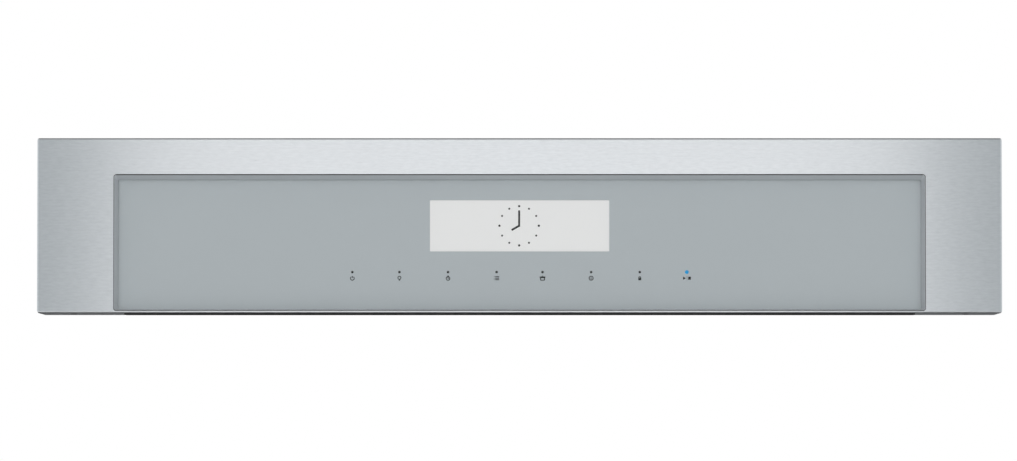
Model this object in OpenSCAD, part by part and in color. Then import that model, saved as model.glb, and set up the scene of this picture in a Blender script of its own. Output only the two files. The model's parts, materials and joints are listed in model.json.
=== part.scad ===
// Control panel of a 30 inch built-in speed oven, in millimetres.
// Frame: +X to the viewer's right, +Z up, the glass faces -Y.
// Origin: centre of the four chassis bolts, on the mounting plane at the back of the brackets.

/* [Front panel] */
// Width of the stainless front
panel_w = 755.65; // [740:0.05:800]
// Height of the stainless front
panel_h = 137.2; // [134:0.1:150]
// Depth from the front face to the mounting plane
panel_d = 28; // [28:0.5:34]
// Thickness of the stainless sheet
sheet_t = 1; // [0.8:0.1:1.2]
// Inner radius of the sheet's bends
bend_r = 0.5; // [0.3:0.1:0.8]
// Rounding of the front's four corners
corner_r = 2; // [1:0.1:2.5]
// Gap from the folded edges' rear end to the mounting plane
return_gap = 1.5; // [1.5:0.1:3]
// Width of the relief slits where two folded edges meet
slit_w = 0.5; // [0.3:0.1:0.8]
// How far the mitred ends of the upper and lower folded edges stand in from the sides
mitre_in = 6; // [4:0.1:7]

/* [Opening] */
// Width of steel left and right of the opening
side_leg_w = 59.7; // [58:0.1:70]
// Height of steel above the opening
top_strip_h = 28.35; // [27:0.05:32]
// Height of the lip below the opening
bottom_lip_h = 1.4; // [1.4:0.1:1.8]
// Corner radius of the opening
opening_r = 2.2; // [1.5:0.1:3]

/* [Reveal and glass] */
// Depth of the glass below the front face
recess_d = 8; // [7:0.5:9]
// Width of the sloped reveal at the top and sides
reveal_w = 3.15; // [2.5:0.05:4]
// Width of the sloped reveal at the bottom
sill_w = 1.6; // [1.2:0.1:2]
// Thickness of the toughened glass
glass_t = 4; // [3.5:0.5:4.5]
// Width of glass hidden behind the reveal at the top and sides
glass_lap = 2.5; // [2:0.1:3]
// Polished bevel round the glass
glass_bevel = 0.6; // [0.4:0.1:1]

/* [Display] */
// Width of the clear window
window_w = 140.7; // [120:0.1:150]
// Distance from the opening's upper edge down to the window
window_drop = 19.6; // [16:0.05:22]
// Distance from the window down to the key dots
key_drop = 16.25; // [15:0.05:18]

/* [Keys] */
// Distance between the two middle keys
key_gap_mid = 36; // [34:0.1:38]
// Distance between neighbouring keys on each side
key_gap = 38.1; // [36:0.1:39]
// Distance from the last key but one to the last
key_gap_end = 36.9; // [35:0.1:38]
// Height of the key dots above the opening's lower edge
key_up = 31.3; // [30:0.05:33]
// Width of a printed key dot
dot_d = 1.6; // [1.2:0.1:2]
// Width of the lit start key's dot
start_dot_d = 3; // [2.4:0.1:3]

/* [Housing] */
// Height of the touch board behind the keys
touch_h = 24; // [22:0.5:26]
// Room between the touch board's ends and the rear cover's sides
bay_side = 29; // [26:1:34]
// Room between the display and the top of the rear cover
bay_head = 8.7; // [8:0.1:9.5]
// Room between the touch board and the bottom of the rear cover
bay_foot = 5; // [4:0.5:6]
// How far the rear cover stands behind the mounting plane
cover_back = 19; // [18:0.5:26]
// Thickness of the rear cover's sheet
cover_t = 0.8; // [0.6:0.1:1]

/* [Chassis fixing] */
// Distance from the panel's side to a chassis bolt
bolt_in = 27.825; // [24:0.005:34]
// Distance between the upper and lower chassis bolts
bolt_span_z = 80; // [60:1:90]
// Width of a chassis bolt hole
bolt_hole_d = 4.5; // [4:0.1:5.5]
// Thickness of the bracket steel
bracket_t = 1.5; // [1.2:0.1:2]

/* [Hidden] */
$fn = 48;
// Overrun of every cut past the face that it leaves
over = 1;
sides = [-1, 1];

// Outline of the front and of its opening
x_half = panel_w/2;
z_top = panel_h/2;
z_bot = -panel_h/2;
y_front = -panel_d;
y_sheet = y_front + sheet_t;
y_return = -return_gap;
open_x = x_half - side_leg_w;
open_zt = z_top - top_strip_h;
open_zb = z_bot + bottom_lip_h;

// Relief slits start behind the bend
slit_start = 4;

// Cut-out in the underside, which the air guide fills
vent_margin = 67.7;
vent_lip = 2.2;
vent_rear = 4;
vent_x = x_half - vent_margin;
vent_y0 = y_front + vent_lip;
vent_y1 = y_return - vent_rear;

// Moulded bezel round the glass
bezel_side_gap = 0.25;
bezel_top_gap = 0.6;
bezel_sill_gap = 0.1;
bezel_setback = 0.4;
bezel_rim = 0.35;
bezel_flange_t = 2.5;
bezel_flange_x = 21.5;
bezel_flange_z = 18;
bezel_wall = 2;
bezel_flange_r = 5;
bezel_fold_gap = 0.5;
shadow_groove_h = 0.9;
shadow_groove_t = 1.8;
reveal_r = 1.6;
hull_facets = 32;
bezel_x = open_x - bezel_side_gap;
bezel_zt = open_zt - bezel_top_gap;
bezel_zb = max(open_zb + bezel_sill_gap, z_bot + sheet_t + bezel_fold_gap);
y_bezel = y_front + bezel_setback;
flange_x = open_x + bezel_flange_x;
flange_zt = open_zt + bezel_flange_z;
y_flange = y_sheet + bezel_flange_t;

// Glass, its aperture in the bezel, its print and its tape
sill_lap = 0.8;
glass_play = 0.4;
sill_play = 0.15;
glass_r = 2;
print_t = 0.2;
print_gap = 0.05;
print_inset = 0.3;
tape_t = 0.5;
tape_w = 9;
sill_tape_w = 4;
aperture_x = bezel_x - reveal_w;
aperture_zt = bezel_zt - reveal_w;
aperture_zb = bezel_zb + sill_w;
glass_x = aperture_x + glass_lap;
glass_zt = aperture_zt + glass_lap;
glass_zb = aperture_zb - sill_lap;
y_glass = y_front + recess_d;
y_glass_back = y_glass + glass_t;
y_print = y_glass_back + print_gap;
y_tape = y_print + print_t;
y_floor = y_tape + tape_t;

// Window, between the opening's upper edge and the keys
key_z = open_zb + key_up;
window_zt = open_zt - window_drop;
window_h = window_zt - key_z - key_drop;
window_z = window_zt - window_h/2;

// Keys: four on each side of the middle
function key_reach(i) = key_gap_mid/2 + min(i, 2)*key_gap + (i > 2 ? key_gap_end : 0);
key_x = [for (s = sides, i = [0:3]) s*key_reach(i)];
start_x = key_reach(3);
pad_d = 10;
pad_clear = 1;
guide_d = 3;
guide_clear = 0.1;
guide_collar_d = 5;
guide_collar_t = 1;
pad_z = key_z - guide_collar_d/2 - pad_d/2 - 2*guide_clear;
lamp_gap = 0.2;

// Display module behind the window
window_r = 0.6;
module_side = 5.4;
module_edge = 5.8;
rim_t = 0.4;
rim_lap = 1;
cell_t = 2.6;
cell_play = 0.2;
light_t = 3;
tray_t = 1.4;
tray_lap = 1;
gasket_w = 3.5;
module_w = window_w + 2*module_side;
module_h = window_h + 2*module_edge;
y_cell = y_floor + rim_t;
y_light = y_cell + cell_t;
y_tray = y_light + light_t;
y_tray_back = y_tray + tray_t;
tray_ear_w = 11;
tray_ear_h = 9;
tray_ear_r = 2;
tray_screw_out = 7;
tray_screw_x = module_w/2 + tray_screw_out;
tray_screw_z = module_h/3;

// Carrier frame
carrier_floor_t = 2;
carrier_wall = 2;
carrier_play = 0.4;
carrier_flange_t = 2.5;
rib_t = 1.6;
rib_h = 6;
rib_fields = 8;
boss_d = 7;
boss_pilot_d = 2.6;
module_clear = 0.5;
pocket_x = glass_x + glass_play + bezel_wall;
pocket_zt = glass_zt + glass_play + bezel_wall;
carrier_x = pocket_x + carrier_play;
carrier_zt = pocket_zt + carrier_play;
y_carrier = y_flange + carrier_flange_t;
y_floor_back = y_floor + carrier_floor_t;
y_pilot = y_floor_back - carrier_floor_t/2;
y_rib = y_floor_back + rib_h;

// Touch board
touch_end = 15.55;
touch_w = 2*(start_x + touch_end);
touch_t = 1.6;
touch_r = 2;
touch_rise = 4.8;
touch_drop = 4;
touch_zc = key_z - touch_drop;
y_touch = y_floor_back + touch_rise;
y_touch_back = y_touch + touch_t;
touch_screw_edge = 4.5;
touch_screw_up = 7;
touch_screws_at = concat([for (s = sides) [s*(touch_w/2 - touch_screw_edge), touch_zc]],
                         [for (s = sides) [s*key_gap_mid, touch_zc + touch_screw_up]]);
lamp_w = 2;
lamp_h = 1.2;
lamp_t = 0.8;

// Screws: head and shank of the two sizes used
screw_d = 3;
screw_hole_d = 3.4;
screw_head_d = 6;
screw_head_h = 2.2;
small_screw_d = 2.3;
small_hole_d = 2.7;
small_head_d = 4.4;
small_head_h = 1.6;
screw_bite = 6;
recess_share = 0.5;

// Control board and its parts
board_play = 12;
board_inset = 4;
board_t = 1.6;
board_r = 3;
board_edge = 7;
board_lift = 1;
bay_zt = window_z + module_h/2 + bay_head;
bay_zb = touch_zc - touch_h/2 - bay_foot;
bay_zc = (bay_zt + bay_zb)/2;
cover_w = touch_w + 2*bay_side;
cover_h = bay_zt - bay_zb;
board_w = cover_w - 2*board_play;
board_h = cover_h - 2*board_inset;
y_board = board_lift;
y_board_back = y_board + board_t;
board_screw_x = board_w/2 - board_edge;
board_screw_z = board_h/2 - board_edge;
board_screws_at = [for (sx = sides, sz = sides) [sx*board_screw_x, bay_zc + sz*board_screw_z]];

// Rear cover
cover_r = 4;
cover_lip_w = 8;
cover_seat = 9.3;
y_cover = y_floor_back + cover_seat;
slot_w = 4;
slot_share = 0.217;
slot_h = cover_h*slot_share;
slot_pitch = 11;
slot_columns = 9;
slot_rows = 2;
slot_row_share = 0.326;
slot_row_pitch = cover_h*slot_row_share;
slot_field_in = 64;
slot_field_x = cover_w/2 - slot_field_in;
cover_screw_in = 4;
cover_screws_at = [
  for (sx = sides, sz = sides) [sx*(cover_w/2 + cover_screw_in), bay_zc + sz*(cover_h/2 - cover_lip_w)],
  for (sx = sides, sz = sides) [sx*cover_w/4, bay_zc + sz*(cover_h/2 + cover_screw_in)]];

// Connectors
pin_pitch = 2.5;
supply_pins = 6;
supply_pitch = 5;
bus_pins = 8;
socket_wall = 1.2;
socket_depth = 10;
socket_floor = 2;
supply_h = 10;
bus_h = 7;
pin_w = 0.8;
socket_clear = 0.6;
supply_in = 46;
bus_in = 48;
supply_x = board_w/2 - supply_in;
bus_x = bus_in - board_w/2;
socket_z = bay_zc + cover_h/4 + slot_pitch/2;

// Brackets, rail and their fixings
bracket_gap = 0.3;
bracket_reach = 41.5;
bracket_lap = 33;
bracket_foot = 6.6;
bracket_h = panel_h - 2*bracket_foot;
bracket_bend_r = 1;
bracket_x1 = x_half - sheet_t - bracket_gap;
tab_l = 21;
tab_w = 31;
tab_setback = 1.5;
tab_y0 = y_sheet + bracket_t + tab_setback;
rail_t = 1.2;
rail_end_gap = 2;
rail_drop = 17;
rail_depth = 22;
rail_slot_w = 40;
rail_slot_h = 7;
rail_slots = 7;
rail_x = bracket_x1 - bracket_reach - rail_end_gap;
bottom_screw_in = 28.3;
bottom_screw_y = -12;
bottom_screw_x = x_half - bottom_screw_in;
sink_head_d = 5.6;
sink_play = 0.1;

// Weld studs
stud_d = 4;
stud_l = 11;
stud_hole_d = 4.6;
stud_up = 11.5;
stud_out = 15;
stud_end_in = 6.125;
stud_pitch = (open_x - stud_end_in)/3;
stud_leg_in = 22.6;
stud_leg_z = z_top - stud_leg_in;
bolt_span_x = panel_w - 2*bolt_in;
bracket_stud_in = 19;
bracket_stud_z_in = 23.6;
bracket_stud_z = z_top - bracket_stud_z_in;
nut_w = 7;
nut_t = 3.2;
nut_collar_d = 8.4;
nut_collar_t = 1;
strip_studs_at = [for (i = [-3:3]) [i*stud_pitch, open_zt + stud_up]];
leg_studs_at = [for (s = sides, z = [-stud_leg_z, -stud_leg_z/3]) [s*(open_x + stud_out), z]];
frame_studs_at = concat(strip_studs_at, leg_studs_at);
bracket_studs_at = [for (s = sides, z = sides) [s*(x_half - bracket_stud_in), z*bracket_stud_z]];

// Carrier ribs and pilot holes
rib_margin = 7;
rib_zb = bezel_zb + rib_margin;
gusset_h = 9;
pilot_l = 7;

// Display flex, backlight strip and ribbon cable
flex_w = 22;
flex_t = 0.3;
flex_x = 0;
flex_rise = 2;
flex_land_z = window_z + module_h/2 - 6;
strip_t = 0.6;
strip_lamp_t = 1;
strip_lamps = 8;
strip_w = strip_t + strip_lamp_t + cell_play;
ribbon_w = 20;
ribbon_t = 0.8;
ribbon_x = 62;
ribbon_drop = 4;
ribbon_run = 6;

// How far each small screw reaches into its boss, and the wall of a key pad
tray_bite = 4;
touch_bite = 4;
board_bite = 8;
pad_wall = 1.5;

// Chips and other parts on the boards
chip_t = 1.4;
chip_foot = 0.3;
chip_leg = 1.2;
touch_chip_x = -62;
touch_chip_w = 10;
touch_chip_h = 6;
touch_chip_legs = 8;
processor_w = 14;
processor_share = 0.13;
processor_up = cover_h*processor_share;
processor_legs = 12;
processor_out = 26;
memory_w = 8;
memory_h = 5;
memory_legs = 4;
capacitor_count = 3;
capacitor_pitch = 13;
capacitor_d = 8;
capacitor_l = 11;
capacitor_ring = 0.8;
capacitor_share = 0.283;
capacitor_z = bay_zc - cover_h*capacitor_share;
coil_x = 58;
coil_d = 11;
coil_l = 7;
buzzer_x = -70;
buzzer_d = 14;
buzzer_l = 8;
buzzer_mouth = 2.4;
socket_proud = 1;
socket_l = cover_back - y_board_back + socket_proud;
pin_recess = 5.5;
slot_drop_share = 0.174;
slot_zc = bay_zc - cover_h*slot_drop_share;

// Bracket web, bottom screws and air guide
web_hole_d = 16;
screw_tip = 3;
guide_play = 0.3;
guide_sink = 0.3;
guide_t = 1.1;
guide_rib_in = 6;
guide_rib_h = 2.9;
guide_tab_w = 6;
guide_tab_r = 1.5;
guide_tab_up = 4;
guide_tab_z = z_bot + guide_tab_up;
guide_tab_shares = [0.3, 0.85];
bay_x = cover_w/2 + cover_lip_w;
guide_tabs_at = [for (s = sides, f = guide_tab_shares) s*(bay_x + f*(vent_x - bay_x))];
guide_slots = 56;
guide_slot_end = 13.3;
guide_slot_pitch = 2*(vent_x - guide_slot_end)/guide_slots;
guide_slot_w = 7;
guide_slot_back = 1.2;
guide_slot_l = 4;

// Earth tab
earth_x = 14.5 - x_half;
earth_z = 20;
blade_w = 6.3;
blade_t = 0.8;
blade_l = 13;
blade_hole_d = 1.6;
blade_head_share = 0.7;

// A plate in the XZ plane, from y0 back to y1, with rounded corners
module slab(x0, x1, z0, z1, y0, y1, r = 0) {
  translate([(x0 + x1)/2, y1, (z0 + z1)/2]) rotate([90, 0, 0])
    linear_extrude(height = y1 - y0) round_rect(x1 - x0, z1 - z0, r);
}

module round_rect(w, h, r) {
  if (r > 0) {
    if (w > 2*r) square([w - 2*r, h], center = true);
    if (h > 2*r) square([w, h - 2*r], center = true);
    for (sx = sides, sy = sides) translate([sx*(w/2 - r), sy*(h/2 - r)]) circle(r = r);
  } else square([w, h], center = true);
}

// A round bar or bore along Y, from y0 back to y1
module rod(x, z, y0, y1, d) {
  translate([x, y0, z]) rotate([-90, 0, 0]) cylinder(h = y1 - y0, d = d);
}

// A bore along Y that runs past both of its faces, y0 and y1
module bore(x, z, y0, y1, d) {
  rod(x, z, y0 - over, y1 + over, d);
}

// A pan-head screw driven forwards: its head sits on y and its shank points to -Y
module pan_screw(x, z, y, shank_d, shank_l, head_d, head_h) {
  difference() {
    union() {
      rod(x, z, y - shank_l, y, shank_d);
      rod(x, z, y, y + head_h*recess_share, head_d);
      translate([x, y + head_h*recess_share, z]) rotate([-90, 0, 0])
        cylinder(h = head_h*recess_share, d1 = head_d, d2 = head_d*recess_share);
    }
    for (a = [0, 90]) translate([x, y + head_h, z]) rotate([0, a, 0])
      cube([head_d*recess_share, head_h, head_d*recess_share/4], center = true);
  }
}

// Depth section of a folded edge: rounded where it meets the front face
module fold_section(d0, d1, s0, s1, r) {
  translate([d0 + r, s0]) square([d1 - d0 - r, s1 - s0]);
  translate([d0, s0 + r]) square([d1 - d0, s1 - s0 - 2*r]);
  for (s = [s0 + r, s1 - r]) translate([d0 + r, s]) circle(r = r);
}

// The folded sheet's skin, moved inwards by inset and open towards the back
module folded_tray(inset, back) {
  r = bend_r + sheet_t - inset;
  intersection() {
    translate([-x_half, 0, 0]) rotate([90, 0, 90]) linear_extrude(height = panel_w)
      fold_section(y_front + inset, back, z_bot + inset, z_top - inset, r);
    translate([0, 0, z_bot]) linear_extrude(height = panel_h) mirror([1, -1, 0])
      fold_section(y_front + inset, back, inset - x_half, x_half - inset, r);
  }
}

module fascia() color([0.80, 0.82, 0.83]) {
  difference() {
    intersection() {
      folded_tray(0, y_return);
      slab(-x_half, x_half, z_bot, z_top, y_front, y_return, corner_r);
    }
    folded_tray(sheet_t, y_return + over);
    slab(-open_x, open_x, open_zb, open_zt, y_front - over, y_sheet + bend_r, opening_r);
    // cut-out for the air guide
    translate([-vent_x, vent_y0, z_bot - over]) cube([2*vent_x, vent_y1 - vent_y0, sheet_t + 2*over]);
    // relief slits where the folded edges meet
    for (sx = sides, sz = sides)
      translate([sx*(x_half - sheet_t - slit_w/2), (y_front + slit_start + y_return + over)/2, sz*z_top])
        cube([slit_w, y_return + over - y_front - slit_start, 2*(sheet_t + over)], center = true);
    // mitred ends of the upper and lower folded edges
    for (z = [z_bot - over, z_top - sheet_t - bend_r]) translate([0, 0, z])
      linear_extrude(height = sheet_t + bend_r + over)
        for (s = sides)
          polygon([[s*(x_half + over), y_front + slit_start],
                   [s*(x_half - sheet_t), y_front + slit_start],
                   [s*(x_half - mitre_in), y_return + over], [s*(x_half + over), y_return + over]]);
    // sunk holes for the two bottom screws
    for (s = sides) translate([s*bottom_screw_x, bottom_screw_y, z_bot])
      sink_shape(sink_play);
  }
}

// A sunk head and its shank, pointing up from the underside
module sink_shape(play) {
  translate([0, 0, -over]) cylinder(h = over, d = sink_head_d + 2*play);
  cylinder(h = sheet_t, d1 = sink_head_d + 2*play, d2 = screw_d + 2*play);
  cylinder(h = sheet_t + over, d = screw_d + 2*play);
}

module fascia_studs() color([0.72, 0.68, 0.60])
  for (p = concat(frame_studs_at, bracket_studs_at)) rod(p[0], p[1], y_sheet, y_sheet + stud_l, stud_d);

module flange_nut(x, z, y) {
  difference() {
    union() {
      rod(x, z, y, y + nut_collar_t, nut_collar_d);
      translate([x, y, z]) rotate([-90, 0, 0]) cylinder(h = nut_t, d = nut_w/cos(30), $fn = 6);
    }
    rod(x, z, y - over, y + nut_t + over, stud_d + 2*guide_clear);
  }
}

module stud_nuts() color([0.75, 0.75, 0.72]) {
  for (p = frame_studs_at) flange_nut(p[0], p[1], y_carrier);
  for (p = bracket_studs_at) flange_nut(p[0], p[1], y_sheet + bracket_t);
}

// One end of the tapered reveal: a thin rounded sheet at depth y
module reveal_sheet(grow, top_grow, y, depth) {
  slab(-aperture_x - grow, aperture_x + grow, aperture_zb - (grow > 0 ? sill_w - bezel_rim : 0),
       aperture_zt + top_grow, y, y + depth, reveal_r);
}

module glass_bezel() color([0.60, 0.62, 0.64]) {
  rise = reveal_w - bezel_rim;
  skin = print_t/2;
  difference() {
    union() {
      slab(-flange_x, flange_x, bezel_zb, flange_zt, y_sheet, y_flange, bezel_flange_r);
      slab(-flange_x, flange_x, bezel_zb, bezel_zb + bezel_flange_z, y_sheet, y_flange);
      slab(-bezel_x, bezel_x, bezel_zb, bezel_zt, y_bezel, y_flange, opening_r);
      slab(-pocket_x, pocket_x, bezel_zb, pocket_zt, y_sheet, y_tape, glass_r);
      slab(-pocket_x, pocket_x, bezel_zb, bezel_zb + bezel_wall, y_sheet, y_tape);
    }
    // sloped reveal, from the front rim down to the glass
    $fn = hull_facets;
    hull() {
      reveal_sheet(rise, rise, y_bezel - skin, skin);
      reveal_sheet(0, 0, y_glass, skin);
    }
    // pocket for the glass
    slab(-glass_x - glass_play, glass_x + glass_play, glass_zb - sill_play, glass_zt + glass_play,
         y_glass, y_tape + over, glass_r);
    // shadow groove above the reveal
    slab(opening_r - bezel_x, bezel_x - opening_r, bezel_zt, bezel_zt + shadow_groove_h,
         y_bezel - over, y_sheet + shadow_groove_t);
    for (p = frame_studs_at) bore(p[0], p[1], y_sheet, y_flange, stud_hole_d);
  }
}

module glass_panel() color([0.66, 0.68, 0.70]) difference() {
  slab(-glass_x, glass_x, glass_zb, glass_zt, y_glass, y_glass_back, glass_r);
  // polished bevel along the four front edges
  for (s = sides) translate([s*glass_x, y_glass, z_bot]) rotate([0, 0, 45])
    cube([glass_bevel*sqrt(2), glass_bevel*sqrt(2), 2*panel_h], center = true);
  for (z = [glass_zt, glass_zb]) translate([0, y_glass, z]) rotate([45, 0, 0])
    cube([panel_w, glass_bevel*sqrt(2), glass_bevel*sqrt(2)], center = true);
}

module glass_print() color([0.55, 0.57, 0.59]) difference() {
  slab(-glass_x + print_inset, glass_x - print_inset, glass_zb + print_inset, glass_zt - print_inset,
       y_print, y_tape, glass_r);
  slab(-window_w/2, window_w/2, window_z - window_h/2, window_z + window_h/2,
       y_print - over, y_tape + over, window_r);
  for (x = key_x) bore(x, key_z, y_print, y_tape, x == start_x ? start_dot_d : dot_d);
}

module adhesive_tape() color([0.15, 0.15, 0.16]) difference() {
  slab(-glass_x + print_inset, glass_x - print_inset, glass_zb + print_inset, glass_zt - print_inset,
       y_tape, y_floor, glass_r);
  slab(-glass_x + tape_w, glass_x - tape_w, glass_zb + sill_tape_w, glass_zt - tape_w,
       y_tape - over, y_floor + over, glass_r);
}

module carrier_frame() color([0.30, 0.31, 0.33]) {
  rib_span = (carrier_x - cover_w/2 - cover_lip_w)/rib_fields;
  difference() {
    union() {
      // flange that the studs clamp, the wall behind it and the floor behind the glass
      difference() {
        union() {
          slab(-flange_x, flange_x, bezel_zb, flange_zt, y_flange, y_carrier, bezel_flange_r);
          slab(-carrier_x - carrier_wall, carrier_x + carrier_wall, bezel_zb, carrier_zt + carrier_wall,
               y_flange, y_floor_back, glass_r);
        }
        slab(-carrier_x, carrier_x, bezel_zb - over, carrier_zt, y_flange - over, y_floor, glass_r);
      }
      // ribs that stiffen both wings of the floor
      for (s = sides, i = [1:rib_fields])
        translate([s*(carrier_x - i*rib_span) - rib_t/2, y_floor, rib_zb])
          cube([rib_t, y_rib - y_floor, carrier_zt - rib_zb]);
      for (z = [rib_zb, (rib_zb + carrier_zt)/2, carrier_zt])
        for (s = sides)
          translate([s > 0 ? cover_w/2 : -carrier_x, y_floor, z - rib_t/2])
            cube([carrier_x - cover_w/2, y_rib - y_floor, rib_t]);
      // gussets between the flange and the wall above the glass
      for (i = [-rib_fields:rib_fields])
        translate([(i + 1/2)*stud_pitch/3 - rib_t/2, y_carrier - over, carrier_zt])
          cube([rib_t, y_floor_back - y_carrier + over, gusset_h]);
      // wall of the electronics bay, which the rear cover closes
      difference() {
        slab(-cover_w/2 - cover_lip_w, cover_w/2 + cover_lip_w, bay_zc - cover_h/2 - cover_lip_w,
             bay_zc + cover_h/2 + cover_lip_w, y_floor, y_cover, cover_r + cover_lip_w);
        slab(-cover_w/2 + cover_t, cover_w/2 - cover_t, bay_zc - cover_h/2 + cover_t,
             bay_zc + cover_h/2 - cover_t, y_floor_back, y_cover + over, cover_r);
      }
      // bosses for the display tray and the two boards
      for (sx = sides, sz = sides) rod(sx*tray_screw_x, window_z + sz*tray_screw_z, y_floor, y_tray, boss_d);
      for (p = touch_screws_at) rod(p[0], p[1], y_floor, y_touch, boss_d);
      for (p = board_screws_at) rod(p[0], p[1], y_floor, y_board, boss_d);
    }
    // window for the display module
    slab(-module_w/2 - module_clear, module_w/2 + module_clear, window_z - module_h/2 - module_clear,
         window_z + module_h/2 + module_clear, y_floor - over, y_floor_back + over, window_r);
    // key pads and light guides pass through the floor
    for (x = key_x) {
      bore(x, pad_z, y_floor, y_floor_back, pad_d + pad_clear);
      bore(x, key_z, y_floor, y_floor_back, guide_d + 2*guide_clear);
    }
    for (p = frame_studs_at) bore(p[0], p[1], y_flange, y_carrier, stud_hole_d);
    // pilot holes for the screws
    for (sx = sides, sz = sides)
      rod(sx*tray_screw_x, window_z + sz*tray_screw_z, y_pilot, y_tray + over, boss_pilot_d);
    for (p = touch_screws_at) rod(p[0], p[1], y_pilot, y_touch + over, boss_pilot_d);
    for (p = board_screws_at) rod(p[0], p[1], y_pilot, y_board + over, boss_pilot_d);
    for (p = cover_screws_at) rod(p[0], p[1], y_cover - pilot_l, y_cover + over, screw_d + 2*guide_clear);
    for (x = guide_tabs_at) bore(x, guide_tab_z, y_floor, y_floor_back, boss_pilot_d);
  }
}

module display_gasket() color([0.12, 0.12, 0.12]) difference() {
  slab(-window_w/2 - gasket_w, window_w/2 + gasket_w, window_z - window_h/2 - gasket_w,
       window_z + window_h/2 + gasket_w, y_tape, y_floor, window_r);
  slab(-window_w/2, window_w/2, window_z - window_h/2, window_z + window_h/2,
       y_tape - over, y_floor + over, window_r);
}

// The display module's outline, moved inwards by inset
module module_slab(inset, y0, y1) {
  slab(inset - module_w/2, module_w/2 - inset, window_z - module_h/2 + inset,
       window_z + module_h/2 - inset, y0, y1, window_r);
}

module display_frame() color([0.70, 0.71, 0.72]) difference() {
  module_slab(0, y_floor, y_tray);
  module_slab(rim_t, y_cell, y_tray + over);
  slab(-window_w/2 - rim_lap, window_w/2 + rim_lap, window_z - window_h/2 - rim_lap,
       window_z + window_h/2 + rim_lap, y_floor - over, y_cell + over, window_r);
  // exit for the display flex
  translate([-flex_w/2 - module_clear, y_light - over/2, window_z + module_h/2 - rim_t - over])
    cube([flex_w + 2*module_clear, y_tray - y_light + over, rim_t + 2*over]);
}

module display_cell() color([0.87, 0.87, 0.87]) module_slab(rim_t + cell_play, y_cell, y_light);

module backlight_guide() color([0.95, 0.96, 0.97]) difference() {
  module_slab(rim_t + cell_play, y_light, y_tray);
  translate([module_w/2 - rim_t - cell_play - strip_w, y_light - over, z_bot])
    cube([strip_w + over, light_t + 2*over, panel_h]);
}

module backlight_strip() color([0.93, 0.92, 0.85]) {
  strip_h = module_h - 2*(rim_t + cell_play) - module_clear;
  lamp_pitch = strip_h/strip_lamps;
  x0 = module_w/2 - rim_t - cell_play - strip_t;
  difference() {
    union() {
      translate([x0, y_light, window_z - strip_h/2]) cube([strip_t, light_t - cell_play, strip_h]);
      for (i = [0:strip_lamps - 1])
        translate([x0 - strip_lamp_t, y_light + cell_play,
                   window_z - strip_h/2 + (i + 1/2)*lamp_pitch - lamp_w/2])
          cube([strip_lamp_t, light_t - 3*cell_play, lamp_w]);
    }
  }
}

module display_tray() color([0.92, 0.92, 0.90]) difference() {
  union() {
    slab(-module_w/2 - tray_lap, module_w/2 + tray_lap, window_z - module_h/2 - tray_lap,
         window_z + module_h/2 + tray_lap, y_tray, y_tray_back, tray_lap);
    for (sx = sides, sz = sides)
      slab(min(sx*(module_w/2 - tray_ear_w), sx*(tray_screw_x + tray_ear_h/2)),
           max(sx*(module_w/2 - tray_ear_w), sx*(tray_screw_x + tray_ear_h/2)),
           window_z + sz*tray_screw_z - tray_ear_h/2, window_z + sz*tray_screw_z + tray_ear_h/2,
           y_tray, y_tray_back, tray_ear_r);
  }
  for (sx = sides, sz = sides)
    bore(sx*tray_screw_x, window_z + sz*tray_screw_z, y_tray, y_tray_back, small_hole_d);
}

module tray_screws() color([0.35, 0.35, 0.37])
  for (sx = sides, sz = sides)
    pan_screw(sx*tray_screw_x, window_z + sz*tray_screw_z, y_tray_back, small_screw_d,
              tray_t + tray_bite, small_head_d, small_head_h);

// A flat strip that leaves one face, turns round a half circle of radius r and comes back
module strap_loop(w, t, r, reach_a, reach_b) {
  translate([-w/2, 0, 0]) rotate([90, 0, 90]) linear_extrude(height = w) {
    difference() {
      circle(r = r + t/2);
      circle(r = r - t/2);
      translate([-2*r, -4*r]) square([4*r, 4*r]);
    }
    translate([-r - t/2, -reach_a]) square([t, reach_a]);
    translate([r - t/2, -reach_b]) square([t, reach_b]);
  }
}

module display_flex() color([0.80, 0.55, 0.20]) {
  r = (y_board - y_tray)/2;
  loop_z = window_z + module_h/2 + flex_rise;
  translate([flex_x, y_tray - flex_t/2 - cell_play + r, loop_z])
    strap_loop(flex_w, flex_t, r, loop_z - window_z - module_h/2 - cell_play, loop_z - flex_land_z);
}

module light_guides() color([0.90, 0.93, 0.95])
  for (x = key_x) {
    rod(x, key_z, y_tape, y_touch - lamp_t - lamp_gap, guide_d);
    rod(x, key_z, y_floor_back, y_floor_back + guide_collar_t, guide_collar_d);
  }

module touch_pads() color([0.20, 0.20, 0.22])
  for (x = key_x) difference() {
    rod(x, pad_z, y_tape, y_touch, pad_d);
    rod(x, pad_z, y_tape + tape_t, y_touch + over, pad_d - 2*pad_wall);
  }

module touch_board() color([0.10, 0.32, 0.20]) difference() {
  slab(-touch_w/2, touch_w/2, touch_zc - touch_h/2, touch_zc + touch_h/2, y_touch, y_touch_back, touch_r);
  for (p = touch_screws_at) bore(p[0], p[1], y_touch, y_touch_back, small_hole_d);
}

module key_lamps() color([0.95, 0.93, 0.80])
  for (x = key_x)
    translate([x - lamp_w/2, y_touch - lamp_t, key_z - lamp_h/2]) cube([lamp_w, lamp_t, lamp_h]);

// A flat chip with legs on two sides, lying on a board's back at y
module chip(x, z, y, w, h, t, legs) {
  translate([x - w/2, y + chip_foot, z - h/2]) cube([w, t, h]);
  for (s = sides, i = [0:legs - 1])
    translate([x - w/2 + (i + 1/2)*w/legs - w/legs/4, y, z + s*(h/2 + chip_leg/2) - chip_leg/2])
      cube([w/legs/2, chip_foot + t/2, chip_leg]);
}

module touch_chip() color([0.13, 0.13, 0.14])
  chip(touch_chip_x, touch_zc, y_touch_back, touch_chip_w, touch_chip_h, chip_t, touch_chip_legs);

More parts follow.
